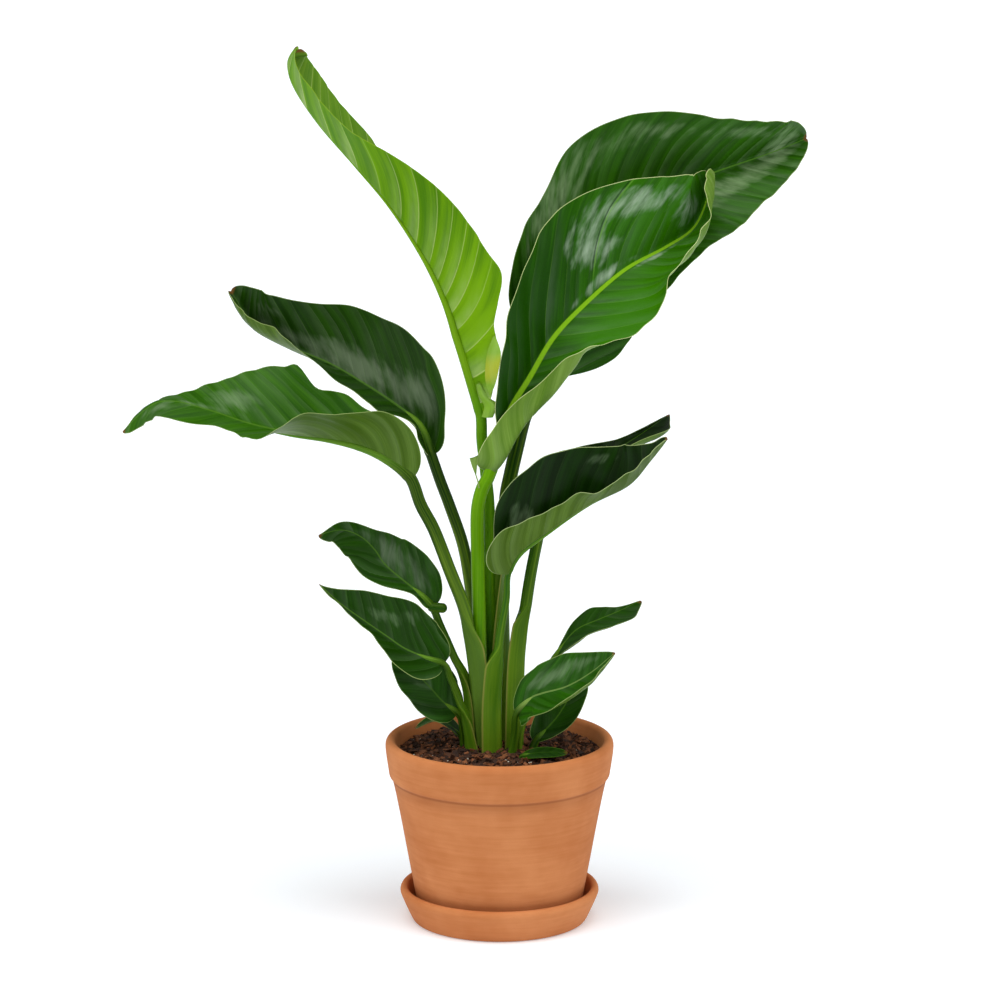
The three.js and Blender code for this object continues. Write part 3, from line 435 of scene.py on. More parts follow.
LOOKS["oval_left_leaf"].update(upper_light="34661a", sheens=[(0.5, 0, 0.3, 0.6, 0.35)])
LOOKS["small_left_leaf"].update(sheen="6f8068", sheens=[(0.45, 0.4, 0.35, 0.5, 0.65)], saw=0.2)
LOOKS["front_right_leaf"].update(
    upper="133800", upper_light="2f6a0a", rib="7c9a50",
    sheens=[(0.4, -0.45, 0.2, 0.3, 0.75), (0.7, -0.6, 0.15, 0.25, 0.5)],
)
LOOKS["soil_leaf"].update(margin="4f7a24", rib_strength=0.3)

# Colours, widths and strengths that all leaves share
BROWN = "6b4a24"
GLOW_YELLOW = "aeb40c"
# The dark of the painted shade in a crease
CREASE_SHADE = "0c2403"
# The yellow of painted light shining through a curled loose end
SHEATH_EDGE = "958c48"
DRY_TIP = (2.0, 5.0)
LEAF_IOR = 1.45
UNDER_ROUGHER = 0.14
STALK_ROUGHER = 0.06
PALE_MOST = 0.85
VEIN_LINE = 0.045
MARGIN_LINE = (0.25, 0.75)
RIB_LINE = (0.65, 1.15)
CREASE_ENDS = 20.0
CREASE_LINE = 1.5
CREST_AWAY = 2.4
STREAK_SHIFT = 37.0

# Patterns of the leaves. The streaks and clouds of a blade have their waves to the millimetre across
# and along the side veins, and their detail. Shares add patterns up. The rest are smooth changes, each
# with where it starts and ends, and four numbers say also what it goes from and to.
FINE_STREAKS = (0.9, 0.027, 3.0)
BROAD_STREAKS = (0.12, 0.012, 2.0)
CLOUDS = (0.1, 0.06, 3.0)
NOISE_MIDDLE = 0.5
LIGHT_SHARES = (0.8, 0.35)
LIGHT_RANGE = (0.3, 0.95)
GLOW_RANGE = (1.0, 1.5)
SAW_RANGE = (0.0, 0.8)
SAW_CHANCE = (0.1, 0.9, 0.25, 1.0)
SAW_CLOUDS = (0.3, 0.65, 0.5, 1.1)
SHEEN_SHARES = (1.3, 0.12)
SHEEN_RANGE = (0.02, 0.3)
PATCH_RANGE = (0.15, 0.95)
LINE_CHANCE = (0.1, 0.9, 0.3, 1.0)
LINE_START = (2.0, 9.0)
LINE_THINS = (20.0, 110.0, 1.0, 0.2)

# Patterns of a stalk, with their waves to the millimetre and their stretch along it
STRANDS = {"waves": 0.5, "stretch": 0.008, "detail": 4.0, "roughness": 0.55}
BLOTCHES = {"waves": 0.12, "stretch": 0.08}
STALK_SHARES = (0.9, 0.5)
STALK_RANGE = (0.1, 0.95)
STALK_TO_RIB = (0.0, 0.15)
STRAND_RANGE = (0.55, 1.0, 0.0, 0.5)
SHEATH_RANGE = (0.4, 0.95, 0.0, 0.6)

# Clay, bark and white grains. Patterns have their waves to the metre, the clay's streaks along x, y
# and z.
CLAY = ("b26837", "cf8856")
CLAY_GRAIN = "a05f38"
CLAY_SHADE = "8a4c2a"
CLAY_STREAKS = (18.0, 18.0, 260.0)
CLAY_CLOUDS = 16.0
BAND_SHARE = 0.3
CLAY_GRAINS = 900.0
CLAY_RANGE = (0.2, 0.8)
CLAY_GRAIN_RANGE = (0.55, 0.75, 0.0, 0.1)
COLLAR_EDGE = 1.0
COLLAR_GROOVE = 2.8
COLLAR_SHADOW = 16.0
BARK = ("321c10", "88522f")
BARK_PITS = "190e08"
BARK_GRAINS = 420.0
BARK_PIT_RANGE = (0.4, 0.7, 0.0, 0.55)
WHITE_GRAIN = ("b5ab98", "efe9da")
WHITE_GRAINS = 500.0

# Loose ends of a blade, each as its two edges and how far painted light shining through it makes it lighter
# and yellow
FLAPS = {
    "new_leaf": [
        ([[-6, -15, 546], [-11, -9, 531], [-13, -3, 512], [-12, -1, 500], [-9, -1, 491]],
            [[-4, -15, 548], [1, -15, 533], [0, -13, 520], [-4, -7, 501], [-9, -1, 490]], 1.4),
        ([[-21, 6, 499], [-19, 6, 490], [-14, 6, 479], [-16, 6, 469]],
            [[-18, 4, 501], [-10, 4, 488], [-2, 4, 481], [-6, 4, 469]], 0.2),
    ],
    "bright_leaf": [
        ([[-27, -8, 434], [-25, -8, 427], [-22, -8, 419]],
            [[-19, -8, 437], [-20, -8, 429], [-21, -8, 419]], 0.5),
        ([[-22, -12, 420], [-20, -12, 413], [-19, -12, 407]],
            [[-21, -12, 420], [-19, -12, 413], [-18, -12, 407]], 0.2),
    ],
}


def smooth(x):
    x = np.clip(x, 0, 1)
    return x * x * (3 - 2 * x)


def hump(x):
    return 4 * x * (1 - x)


def unit(v):
    return v / np.maximum(np.linalg.norm(v, axis=-1, keepdims=True), 1e-12)


def circle(radius, sides):
    """The x and y of points around a circle, or a row of them to each radius."""
    turn = np.linspace(0, FULL_TURN, sides, endpoint=False)
    return radius * np.cos(turn), radius * np.sin(turn)


def vectors(*parts):
    return np.stack(np.broadcast_arrays(*parts), -1)


def spline(points, t):
    """Values at t, from 0 to 1, on a smooth curve through points at even steps."""
    p = np.asarray(points, float)
    flat = p.ndim == 1
    p = p[:, None] if flat else p
    last = len(p) - 1
    if last == 0:
        out = np.repeat(p, np.size(t), 0)
        return out[:, 0] if flat else out
    p = np.vstack([2 * p[0] - p[1], p, 2 * p[-1] - p[-2]])
    x = np.clip(np.atleast_1d(t), 0, 1) * last
    i = np.minimum(x.astype(int), last - 1)
    f = (x - i)[:, None]
    a, b, c, d = p[i], p[i + 1], p[i + 2], p[i + 3]
    out = 0.5 * (2 * b + (c - a) * f + (2 * a - 5 * b + 4 * c - d) * f**2 + (3 * b - a - 3 * c + d) * f**3)
    return out[:, 0] if flat else out


def outline(shape, u):
    foot, tip = shape
    widest = foot / (foot + tip)
    return (u / widest) ** foot * ((1 - u) / (1 - widest)) ** tip


class Axis:
    """The line of a leaf from under the soil to its tip, measured by distance along it."""

    def __init__(self, leaf):
        self.leaf = leaf
        root = [*leaf.stalk[0][:2], leaf.root]
        self.points = np.array([root, *leaf.stalk, *leaf.rib], float)
        self.t = np.linspace(0, 1, AXIS_STEPS + 1)
        steps = np.linalg.norm(np.diff(spline(self.points, self.t), axis=0), axis=1)
        self.distance = np.concatenate([[0], np.cumsum(steps)])
        self.foot = np.interp((1 + len(leaf.stalk)) / (len(self.points) - 1), self.t, self.distance)
        self.length = self.distance[-1] - self.foot

    def at(self, distances):
        """The point, tangent, face and side at each distance."""
        t = np.interp(distances, self.distance, self.t)
        ahead = spline(self.points, np.minimum(t + AXIS_NUDGE, 1))
        tangent = unit(ahead - spline(self.points, np.maximum(t - AXIS_NUDGE, 0)))
        u = (distances - self.foot) / self.length
        blade = spline(self.leaf.face, np.clip(u, 0, 1))
        turn = smooth(distances / self.foot)[:, None]
        stalk = np.array(self.leaf.toward) * (1 - turn) + np.array(self.leaf.face[0]) * turn
        face = np.where((u < 0)[:, None], stalk, blade)
        face = unit(face - np.sum(face * tangent, 1, keepdims=True) * tangent)
        return spline(self.points, t), tangent, face, np.cross(tangent, face)


class Half:
    """One half of a blade: its points from the rib to the margin, and where each one lies."""

    def __init__(self, leaf, look, axis, us, vs, sign, rng):
        self.name = "left" if sign < 0 else "right"
        self.half = getattr(leaf, self.name)
        self.widest = self.half.widest
        self.breadth = min(self.widest / BROAD_HALF, 1.0)
        self.look = look
        self.sign = sign
        self.us = us
        self.vs = vs
        self.along = us[:, None] * axis.length
        self.sweep = np.radians(np.interp(us, [0, 1], leaf.sweep))[:, None]
        width = self.widest * outline(self.half.powers, us) * spline(self.half.trim, us)
        self.width = width[:, None]
        self.x = self.width * vs
        self.margin = self.width * (1 - vs)
        self.points = self.laid(axis, *leaf.wave)
        self.vein = self.vein_feet(axis.length)
        self.marks = self.vein_marks(rng)
        self.phase = np.interp(self.vein, self.marks, np.arange(len(self.marks)))
        self.relief = self.pleats(rng) + self.ripples(rng)

    def curled(self, vs):
        """The share of its curl that the half has across each row."""
        if not self.half.bend:
            return np.broadcast_to(vs**2, (len(self.us), len(vs)))
        start, end = (spline(bend, self.us)[:, None] for bend in self.half.bend)
        return smooth((vs - start) / (end - start))

    def laid(self, axis, height, count):
        """Points laid from the rib in small steps that turn with the fold and the curl."""
        point, tangent, face, side = (part[:, None] for part in axis.at(axis.foot + self.along[:, 0]))
        fold = np.radians(spline(self.half.fold, self.us))[:, None]
        curl = np.radians(spline(self.half.curl, self.us))[:, None]
        middle = (np.arange(WIDTH_STEPS) + 0.5) / WIDTH_STEPS
        angle = (fold * smooth(middle * self.width / CREASE) + curl * self.curled(middle))[..., None]
        across = np.cos(angle) * self.sign * side + np.sin(angle) * face
        sweep = self.sweep[..., None]
        step = (np.cos(sweep) * across + np.sin(sweep) * tangent) * (self.width[..., None] / WIDTH_STEPS)
        path = np.concatenate([np.zeros((len(self.us), 1, 3)), np.cumsum(step, 1)], 1)
        place = self.vs * WIDTH_STEPS
        before = np.minimum(place.astype(int), WIDTH_STEPS - 1)
        share = (place - before)[None, :, None]
        points = point + path[:, before] * (1 - share) + path[:, before + 1] * share
        angle = (fold + curl * self.curled(self.vs))[..., None]
        normal = np.cos(angle) * face - np.sin(angle) * self.sign * side
        phase = FULL_TURN * count * self.us + WAVE_SHIFT * self.sign
        swell = (height * np.sin(phase) * hump(self.us))[:, None] * self.vs**2
        return points + normal * swell[..., None]

    def vein_feet(self, length):
        """Where along the rib the side vein through each point starts, brought nearer at each pass."""
        bowed = self.along - VEIN_CURVE * self.x**2 / self.widest
        leans = [self.look["foot_lean"], VEIN_LEAN_DEG]
        feet = bowed
        for _ in range(VEIN_PASSES):
            lean = np.tan(np.radians(np.interp(feet / length, [0, FOOT_LEAN_REACH], leans)))
            lean = lean * np.cos(self.sweep) - np.sin(self.sweep)
            feet = (feet + bowed - self.x * lean) / 2
        return feet

    def vein_marks(self, rng):
        """The distance of each side vein along the rib."""
        spacing = VEIN_SPACING * (VEIN_SPACING_LEAST + (1 - VEIN_SPACING_LEAST) * self.breadth)
        gaps = spacing * rng.uniform(*VEIN_GAPS, VEIN_COUNT)
        marks = np.cumsum(gaps) - VEINS_BEFORE_FOOT * gaps.sum()
        return np.array(self.look.get(f"{self.name}_veins", marks), float)

    def pleats(self, rng):
        """The height of the pleats between the side veins, less the depth of the creases."""
        number = np.floor(self.phase)
        rise = rng.uniform(*PLEAT_RISES, len(self.marks))[number.astype(int)]
        height = self.look["pleat"] * PLEAT_HEIGHT * min(self.widest / PLEAT_FULL_HALF, 1.0) * rise
        height = height * smooth((self.x - PLEAT_START) / PLEAT_REACH)
        height = height * outline(PLEAT_SHAPE, self.phase - number)
        for sign, place, start, end, strength in self.look["creases"]:
            if sign == self.sign:
                within = smooth((self.x - start) / CREASE_FADE) * smooth((end - self.x) / CREASE_FADE)
                groove = np.exp(-(((self.vein - place) / CREASE_WIDTH) ** 2))
                height = height - CREASE_DEPTH * strength * within * groove
        return height

    def ripples(self, rng):
        """The height of the ripples, which grow to the margin and die out at the tip."""
        height = np.zeros_like(self.x)
        for size in RIPPLE_LENGTHS:
            way = FULL_TURN * (self.along - RIPPLE_LEAN * self.x) / size
            height += np.sin(way + rng.uniform(0, FULL_TURN))
        height *= self.look["ripple"] * RIPPLE_HEIGHT * self.breadth * self.vs**3
        return height * smooth((1 - self.us) * RIPPLE_END)[:, None]


def shade_of(spots, u, v):
    """A soft pattern from listed spots: each has its u, v, reach along and across, and strength."""
    out = np.zeros(np.broadcast(u, v).shape)
    for su, sv, du, dv, amount in spots:
        out += amount * np.exp(-(((u - su) / du) ** 2) - ((v - sv) / dv) ** 2)
    return out


def grid_faces(rows, columns, flip=False, closed=False, looped=False):
    """Faces of a grid of points. A closed one joins its columns round, a looped one its rows."""
    faces = []
    for i in range(rows if looped else rows - 1):
        for j in range(columns if closed else columns - 1):
            here, above, k = i * columns, (i + 1) % rows * columns, (j + 1) % columns
            face = [here + j, here + k, above + k, above + j]
            faces.append(face[::-1] if flip else face)
    return faces


def tube_faces(rows, sides, flip=False):
    """Faces of a tube with a cap at each end."""
    last = (rows - 1) * sides
    caps = [list(range(sides))[::-1], [last + k for k in range(sides)]]
    return grid_faces(rows, sides, flip, True) + [cap[::-1] if flip else cap for cap in caps]


# Values that the materials read at each point. The veins hold the side vein's foot and number and the
# distance from the rib, place the rib's band, the margin and the painted sheen, and ends the distance to
# the tip, u and the spots, partly the blade's own tone and partly painted light and shade. A stem's
# round is its point within the section and its distance, and its stem is the share of the stalk, the
# sheath's edge and u.
VALUES = ("veins", "place", "ends", "round", "stem")

# The kinds of a leaf's faces, in the order of its materials
UPPER, UNDER, STALK = 0, 1, 2


def add_object(name, data):
    obj = bpy.data.objects.new(name, data)
    bpy.context.scene.collection.objects.link(obj)
    return obj


class Build:
    """Points and faces, with the kind of each face and the values at each point."""

    def __init__(self):
        self.points = []
        self.faces = []
        self.kinds = []
        self.values = {name: [] for name in VALUES}
        self.count = 0

    def add(self, points, faces, kind, **values):
        points = np.reshape(points, (-1, 3))
        self.points.append(points)
        self.faces += [[i + self.count for i in face] for face in faces]
        self.kinds += [kind] * len(faces)
        for name, parts in self.values.items():
            parts.append(np.reshape(values.get(name, np.zeros((len(points), 3))), (-1, 3)))
        self.count += len(points)

    def make(self, name, materials, sharp_deg=45.0):
        mesh = bpy.data.meshes.new(name)
        mesh.from_pydata((np.concatenate(self.points) * MM).tolist(), [], self.faces)
        for material in materials:
            mesh.materials.append(material)
        mesh.polygons.foreach_set("material_index", self.kinds)
        mesh.polygons.foreach_set("use_smooth", [True] * len(self.faces))
        for value_name, parts in self.values.items():
            values = np.concatenate(parts)
            if np.any(values):
                attribute = mesh.attributes.new(value_name, "FLOAT_VECTOR", "POINT")
                attribute.data.foreach_set("vector", values.astype(np.float32).ravel())
        mesh.set_sharp_from_angle(angle=math.radians(sharp_deg))
        return add_object(name, mesh)


def normals(points):
    return unit(np.cross(np.gradient(points, axis=1), np.gradient(points, axis=0)))


def whole(left, right):
    return np.concatenate([left[:, :0:-1], right], 1)


def add_skins(build, points, thick, kind, values):
    """Two skins on either side of a grid of points: the upper one of this kind, and the under one."""
    rows, columns = points.shape[:2]
    half_thick = thick / 2 * normals(points)
    build.add(points + half_thick, grid_faces(rows, columns), kind, **values)
    build.add(points - half_thick, grid_faces(rows, columns, flip=True), UNDER, **values)


def add_blade(build, leaf, look, axis, rng):
    """The blade as two skins that meet at a thin margin."""
    rows = int(axis.length * ROW_EXCESS / ROW_STEP) + LEAST_ROWS
    x = np.linspace(0, 1, rows)
    us = FOOT_U + (TIP_U - FOOT_U) * (x - ROW_CROWDING * np.sin(FULL_TURN * x))
    widest = max(leaf.left.widest, leaf.right.widest)
    vs = np.linspace(0, 1, int(widest / COLUMN_STEP) + LEAST_COLUMNS) ** COLUMN_CROWDING
    left = Half(leaf, look, axis, us, vs, -1, rng)
    right = Half(leaf, look, axis, us, vs, 1, rng)
    points = whole(left.points, right.points)
    points = points + normals(points) * whole(left.relief, right.relief)[..., None]
    u, v = us[:, None], whole(-vs[None], vs[None])
    to_tip = (1 - u) * axis.length
    margin = whole(left.margin, right.margin)
    edge = smooth(np.minimum(margin, to_tip) / MARGIN_REACH)
    thick = MARGIN_THICKNESS + (BLADE_THICKNESS - MARGIN_THICKNESS) * edge
    band = look["band"] * (RIB_BAND_SHARE * leaf.stem[1] * (1 - u) ** RIB_BAND_POWER + RIB_BAND_LEAST)
    band = whole(-left.x, right.x) / band
    phase = whole(left.phase, right.phase + RIGHT_VEINS_FROM)
    values = {
        "veins": vectors(whole(left.vein, right.vein), phase, whole(left.x, right.x)),
        "place": vectors(band, margin, shade_of(look["sheens"], u, v)),
        "ends": vectors(to_tip, u, shade_of(look["spots"], u, v)),
    }
    add_skins(build, points, thick[..., None], UPPER, values)
    columns = points.shape[1]
    skin = rows * columns
    number = np.arange(build.count - 2 * skin, build.count - skin).reshape(rows, columns)
    ring = [*number[0], *number[1:, -1], *number[-1, -2::-1], *number[-2:0:-1, 0]]
    strip = [[int(n) for n in (b, a, a + skin, b + skin)] for a, b in zip(ring, ring[1:] + ring[:1])]
    build.faces += strip
    build.kinds += [UPPER] * len(strip)


def add_stem(build, leaf, axis):
    """The stalk, with its sheath where it has one, and the rib under the blade."""
    end = axis.foot + axis.length * RIB_END
    stalk = np.linspace(0, axis.foot, max(LEAST_STALK_ROWS, int(axis.foot / STALK_STEP)))
    rib = np.linspace(axis.foot, end, max(LEAST_RIB_ROWS, int((end - axis.foot) / STALK_STEP)))
    distances = np.concatenate([stalk, rib[1:]])
    point, _, face, side = axis.at(distances)
    low, high = leaf.stem
    share = distances / axis.foot
    u = (distances - axis.foot) / axis.length
    taper = high * (1 - np.clip(u, 0, 1)) ** RIB_TAPER + RIB_LEAST
    radius = np.where(u > 0, taper, low + (high - low) * share)
    sunk = np.where(u > 0, np.minimum(u / RIB_SINK_SHARE, 1) * (radius - RIB_PROUD), 0)
    sheath = leaf.sheath
    bare = smooth((point[:, 2] - sheath.top + sheath.fade) / sheath.fade)
    thick = sheath.thick + (radius - sheath.thick) * bare
    cos, sin = circle(1, STALK_SIDES)
    arms = zip(sheath.left, sheath.right)
    reach, bend = (np.where(cos >= 0, right, left) for left, right in arms)
    arm = reach + (radius[:, None] - reach) * bare[:, None]
    bend = bend * (1 - bare)[:, None]
    x = arm * cos
    y = bend * cos**2 + thick[:, None] * sin - sunk[:, None]
    points = point[:, None] + x[..., None] * side[:, None] + y[..., None] * face[:, None]
    sheathed = (1 - bare)[:, None] * np.abs(cos) ** SHEATH_EDGE_POWER * (bend > 0)
    rounds = vectors(*circle(radius[:, None], STALK_SIDES), distances[:, None])
    stems = vectors(np.clip(share, 0, 1)[:, None], sheathed, np.clip(u, 0, 1)[:, None])
    faces = tube_faces(len(distances), STALK_SIDES, flip=True)
    build.add(points, faces, STALK, round=rounds, stem=stems)


def add_spur(build, start, end, radius):
    """The short stub of a cut stalk."""
    start, end = np.array(start, float), np.array(end, float)
    line = unit(end - start)
    side = unit(np.cross(line, [0.0, 0.0, 1.0]))
    tilt = np.radians(np.linspace(-SPUR_TILT_DEG, SPUR_TILT_DEG, SPUR_ROWS))[:, None]
    reach = radius * np.sin(tilt) + np.where(tilt > 0, np.linalg.norm(end - start), 0)
    cos, sin = circle(1, STALK_SIDES)
    across = cos[:, None] * side + sin[:, None] * np.cross(side, line)
    points = start + reach[..., None] * line + radius * np.cos(tilt)[..., None] * across
    rounds = vectors(cos * radius, sin * radius, reach)
    stems = np.broadcast_to([1.0, 0.0, 0.0], rounds.shape)
    build.add(points, tube_faces(SPUR_ROWS, STALK_SIDES), STALK, round=rounds, stem=stems)


def add_flap(build, left, right, shade):
    """A small loose end of a blade, between two edges."""
    t = np.linspace(0, 1, FLAP_ROWS)[:, None]
    across = np.linspace(0, 1, FLAP_COLUMNS)
    start, end = (spline(edge, t[:, 0])[:, None] for edge in (left, right))
    width = np.linalg.norm(end - start, axis=-1)
    share = across[:, None]
    points = start * (1 - share) + end * share
    points = points - np.array([0, FLAP_BULGE, 0]) * hump(share) * width[..., None]
    margin = width * np.minimum(across, 1 - across)
    values = {
        "veins": vectors(across * width, FLAP_PHASE, FLAP_VEIN_REACH * t),
        "place": vectors(FLAP_BAND, margin + FLAP_MARGIN, 0),
        "ends": vectors(FLAP_TIP, 0.5, shade * hump(t) * np.ones(FLAP_COLUMNS)),
    }
    add_skins(build, points, FLAP_THICKNESS, UNDER, values)


def linear(colour):
    """A colour in linear light, from its sRGB digits."""
    out = []
    for k in (0, 2, 4):
        c = int(colour[k:k + 2], 16) / 255
        out.append(c / 12.92 if c <= 0.04045 else ((c + 0.055) / 1.055) ** 2.4)
    return (*out, 1.0)


class Value:
    """The output of a node, which can be added, subtracted and multiplied."""

    def __init__(self, shader, socket):
        self.shader = shader
        self.socket = socket

    def __add__(self, other):
        return self.shader.math("ADD", self, other)

    def __sub__(self, other):
        return self.shader.math("SUBTRACT", self, other)

    def __rsub__(self, other):
        return self.shader.math("SUBTRACT", other, self)

    def __mul__(self, other):
        return self.shader.math("MULTIPLY", self, other)

    def __abs__(self):
        return self.shader.math("ABSOLUTE", self)


class Shader:
    """A material with one Principled shader, and short ways to add the nodes before it."""

    def __init__(self, name, roughness, **constants):
        self.material = bpy.data.materials.new(name)
        self.material.use_nodes = True
        self.tree = self.material.node_tree
        self.inputs = self.tree.nodes["Principled BSDF"].inputs
        self.inputs["Roughness"].default_value = roughness
        for socket, value in constants.items():
            self.inputs[socket.replace("_", " ")].default_value = value

    def feed(self, socket, value):
        if isinstance(value, Value):
            self.tree.links.new(value.socket, socket)
        else:
            socket.default_value = linear(value) if isinstance(value, str) else value

    def node(self, kind, inputs=(), output=0, **settings):
        """Adds a node, fed with values, numbers or colours, and gives one of its outputs."""
        node = self.tree.nodes.new(kind)
        for key, value in settings.items():
            setattr(node, key, value)
        for key, value in dict(inputs).items():
            self.feed(node.inputs[key], value)
        return Value(self, node.outputs[output])

    def split(self, vector):
        first = self.node("ShaderNodeSeparateXYZ", {0: vector})
        return [Value(self, socket) for socket in first.socket.node.outputs]

    def read(self, attribute):
        return self.split(self.node("ShaderNodeAttribute", output="Vector", attribute_name=attribute))

    def position(self):
        return self.node("ShaderNodeTexCoord", output="Object")

    def vector(self, x, y, z=0.0):
        return self.node("ShaderNodeCombineXYZ", {0: x, 1: y, 2: z})

    def math(self, operation, a, b=0.0):
        return self.node("ShaderNodeMath", {0: a, 1: b}, operation=operation)

    def step(self, value, low, high, to_low=0.0, to_high=1.0):
        """A smooth change from one number to another as the value goes from low to high."""
        inputs = {0: value, 1: low, 2: high, 3: to_low, 4: to_high}
        return self.node("ShaderNodeMapRange", inputs, interpolation_type="SMOOTHSTEP")

    def fade(self, value, low, high, most=1.0):
        return self.step(value, low, high, most, 0.0)

    def noise(self, vector, scale, detail=2.0, roughness=0.5):
        inputs = {"Vector": vector, "Scale": scale, "Detail": detail, "Roughness": roughness}
        return self.node("ShaderNodeTexNoise", inputs)

    def along_stalk(self, x, y, distance, waves, stretch, **settings):
        return self.noise(self.vector(x, y, distance * stretch), waves, **settings)

    def base(self, factor, low, high):
        """Mixes the base colour from two colours."""
        self.colour = self.node("ShaderNodeMix", {0: factor, 6: low, 7: high}, 2, data_type="RGBA")
        self.feed(self.inputs["Base Color"], self.colour)

    def paint(self, factor, colour):
        """Lays a colour over the base colour, as far as the factor says."""
        self.base(factor, self.colour, colour)

    def bump(self, height, strength, distance):
        inputs = {"Height": height, "Strength": strength, "Distance": distance * MM}
        self.feed(self.inputs["Normal"], self.node("ShaderNodeBump", inputs))


def blade_skin(name, look, face):
    """The skin of one face of a blade, with side veins, painted sheen and shade, rib, margin and dry tip.
    """
    upper = face == "upper"
    roughness = look["gloss"] + (0.0 if upper else UNDER_ROUGHER)
    s = Shader(f"{name}_{face}", roughness, IOR=LEAF_IOR, Specular_IOR_Level=look["spec"])
    vein, phase, x = s.read("veins")
    band, margin, sheen = s.read("place")
    tip, _, shade = s.read("ends")
    across = vein + STREAK_SHIFT * len(name)
    patterns = (FINE_STREAKS, BROAD_STREAKS, CLOUDS)
    fine, broad, cloud = (s.noise(s.vector(across * a, x * b), 1.0, c) for a, b, c in patterns)
    # The spots make the colour lighter or darker: partly the blade's own tone, partly painted light and
    # shade.
    light = broad * LIGHT_SHARES[0] + fine * LIGHT_SHARES[1] + shade
    s.base(s.step(light, *LIGHT_RANGE), look[face], look[f"{face}_light"])
    # Painted glow: light shining through a curled loose end is painted as yellow where its value runs high.
    s.paint(s.step(shade, *GLOW_RANGE), GLOW_YELLOW)

    # Painted sheen: each gap between side veins is painted from a pale highlight to dark, and streaky
    # patches of painted highlight go where the sheens are, both in the pale sheen colour.
    number = s.math("FLOOR", phase)
    chance = s.node("ShaderNodeTexWhiteNoise", {"W": number}, noise_dimensions="1D")
    saw = s.fade(s.math("FRACT", phase), *SAW_RANGE) * s.step(chance, *SAW_CHANCE)
    saw = saw * s.fade(x, 0.0, look["saw_reach"]) * s.step(cloud, *SAW_CLOUDS)
    saw = saw * look["saw" if upper else "under_saw"]
    streaked = (cloud - NOISE_MIDDLE) * SHEEN_SHARES[0] + (fine - NOISE_MIDDLE) * SHEEN_SHARES[1]
    streaked = (streaked + sheen) * s.step(sheen, *SHEEN_RANGE)
    patch = s.step(streaked, *PATCH_RANGE) * (look["patch"] if upper else 0.0)
    pale = s.math("MINIMUM", saw + patch, PALE_MOST)
    s.paint(pale, look["sheen" if upper else "under_sheen"])

    # Pale lines along some side veins: partly the veins' own colour, partly a painted highlight along their
    # creases.
    line = s.fade(s.math("PINGPONG", phase, 0.5), 0.0, VEIN_LINE) * s.step(chance, *LINE_CHANCE)
    line = line * (s.step(x, *LINE_START) * s.step(x, *LINE_THINS))
    s.paint(line * look["line"], look["vein"])
    # Painted shade and highlight of each crease: a dark line in its groove and a pale line on its crest.
    for sign, place, start, end, strength in look["creases"] if upper else []:
        along = s.step(x, start, start + CREASE_ENDS) * s.fade(x, end - CREASE_ENDS, end)
        along = along * s.step(band * sign, 0.0, 0.5) * strength
        away = vein - place
        groove = s.fade(abs(away), 0.0, CREASE_LINE, most=0.9)
        crest_highlight = s.fade(abs(away - CREST_AWAY), 0.0, CREASE_LINE, most=0.7)
        s.paint(groove * along, CREASE_SHADE)
        s.paint(crest_highlight * along, look["vein"])
    if upper:
        s.paint(s.fade(abs(band), *RIB_LINE) * look["rib_strength"], look["rib"])
    s.paint(s.fade(margin, *MARGIN_LINE), look["margin"])
    s.paint(s.fade(tip, *DRY_TIP), BROWN)
    s.bump(fine * 0.5 + line * (-0.5 if upper else 0.6), strength=0.35, distance=0.6)
    return s.material


def stalk_skin(name, look):
    """The skin of a stalk, with long strands and a pale dry edge to its sheath."""
    roughness = look["gloss"] + STALK_ROUGHER
    s = Shader(f"{name}_stalk", roughness, IOR=LEAF_IOR, Specular_IOR_Level=look["spec"])
    share, sheathed, u = s.read("stem")
    x, y, distance = s.read("round")
    strands, blotches = (s.along_stalk(x, y, distance, **pattern) for pattern in (STRANDS, BLOTCHES))
    s.base(s.step(share, *STALK_RANGE), look["stalk_low"], look["stalk_high"])
    s.paint(s.step(u, *STALK_TO_RIB), look["rib"])
    light = strands * STALK_SHARES[0] + blotches * STALK_SHARES[1]
    s.paint(s.step(light, *STRAND_RANGE), look["stalk_light"])
    s.paint(s.step(sheathed, *SHEATH_RANGE), SHEATH_EDGE)
    s.bump(strands, strength=0.3, distance=0.8)
    return s.material


def clay(name):
    """Fired clay with faint turning marks, and a line of shade under the collar."""
    s = Shader(name, roughness=0.85, IOR=1.45, Specular_IOR_Level=0.25)
    at = s.position()
    x, y, z = s.split(at)
    streak = s.vector(*(part * waves for part, waves in zip((x, y, z), CLAY_STREAKS)))
    bands = s.noise(streak, 1.0, detail=4.0, roughness=0.6)
    cloud = s.noise(at, CLAY_CLOUDS, detail=3.0, roughness=0.6)
    grain = s.noise(at, CLAY_GRAINS)
    s.base(s.step(bands * BAND_SHARE + cloud * (1 - BAND_SHARE), *CLAY_RANGE), *CLAY)
    s.paint(s.step(grain, *CLAY_GRAIN_RANGE), CLAY_GRAIN)
    # Painted shade: a dark line in the crevice under the collar, and a softer band that fades below it.
    below = (COLLAR_BOTTOM + COLLAR_EDGE) * MM - z
    groove = s.fade(abs(below - COLLAR_EDGE * MM), 0.0, COLLAR_GROOVE * MM, most=0.7)
    shadow = s.fade(below, COLLAR_EDGE * MM, COLLAR_SHADOW * MM, most=0.3)
    shadow = s.step(below, 0.0, COLLAR_EDGE * MM) * shadow
    s.paint(s.math("MAXIMUM", groove, shadow), CLAY_SHADE)
    s.bump(bands * 0.25 + grain * 0.25, strength=0.25, distance=1.2)
    return s.material


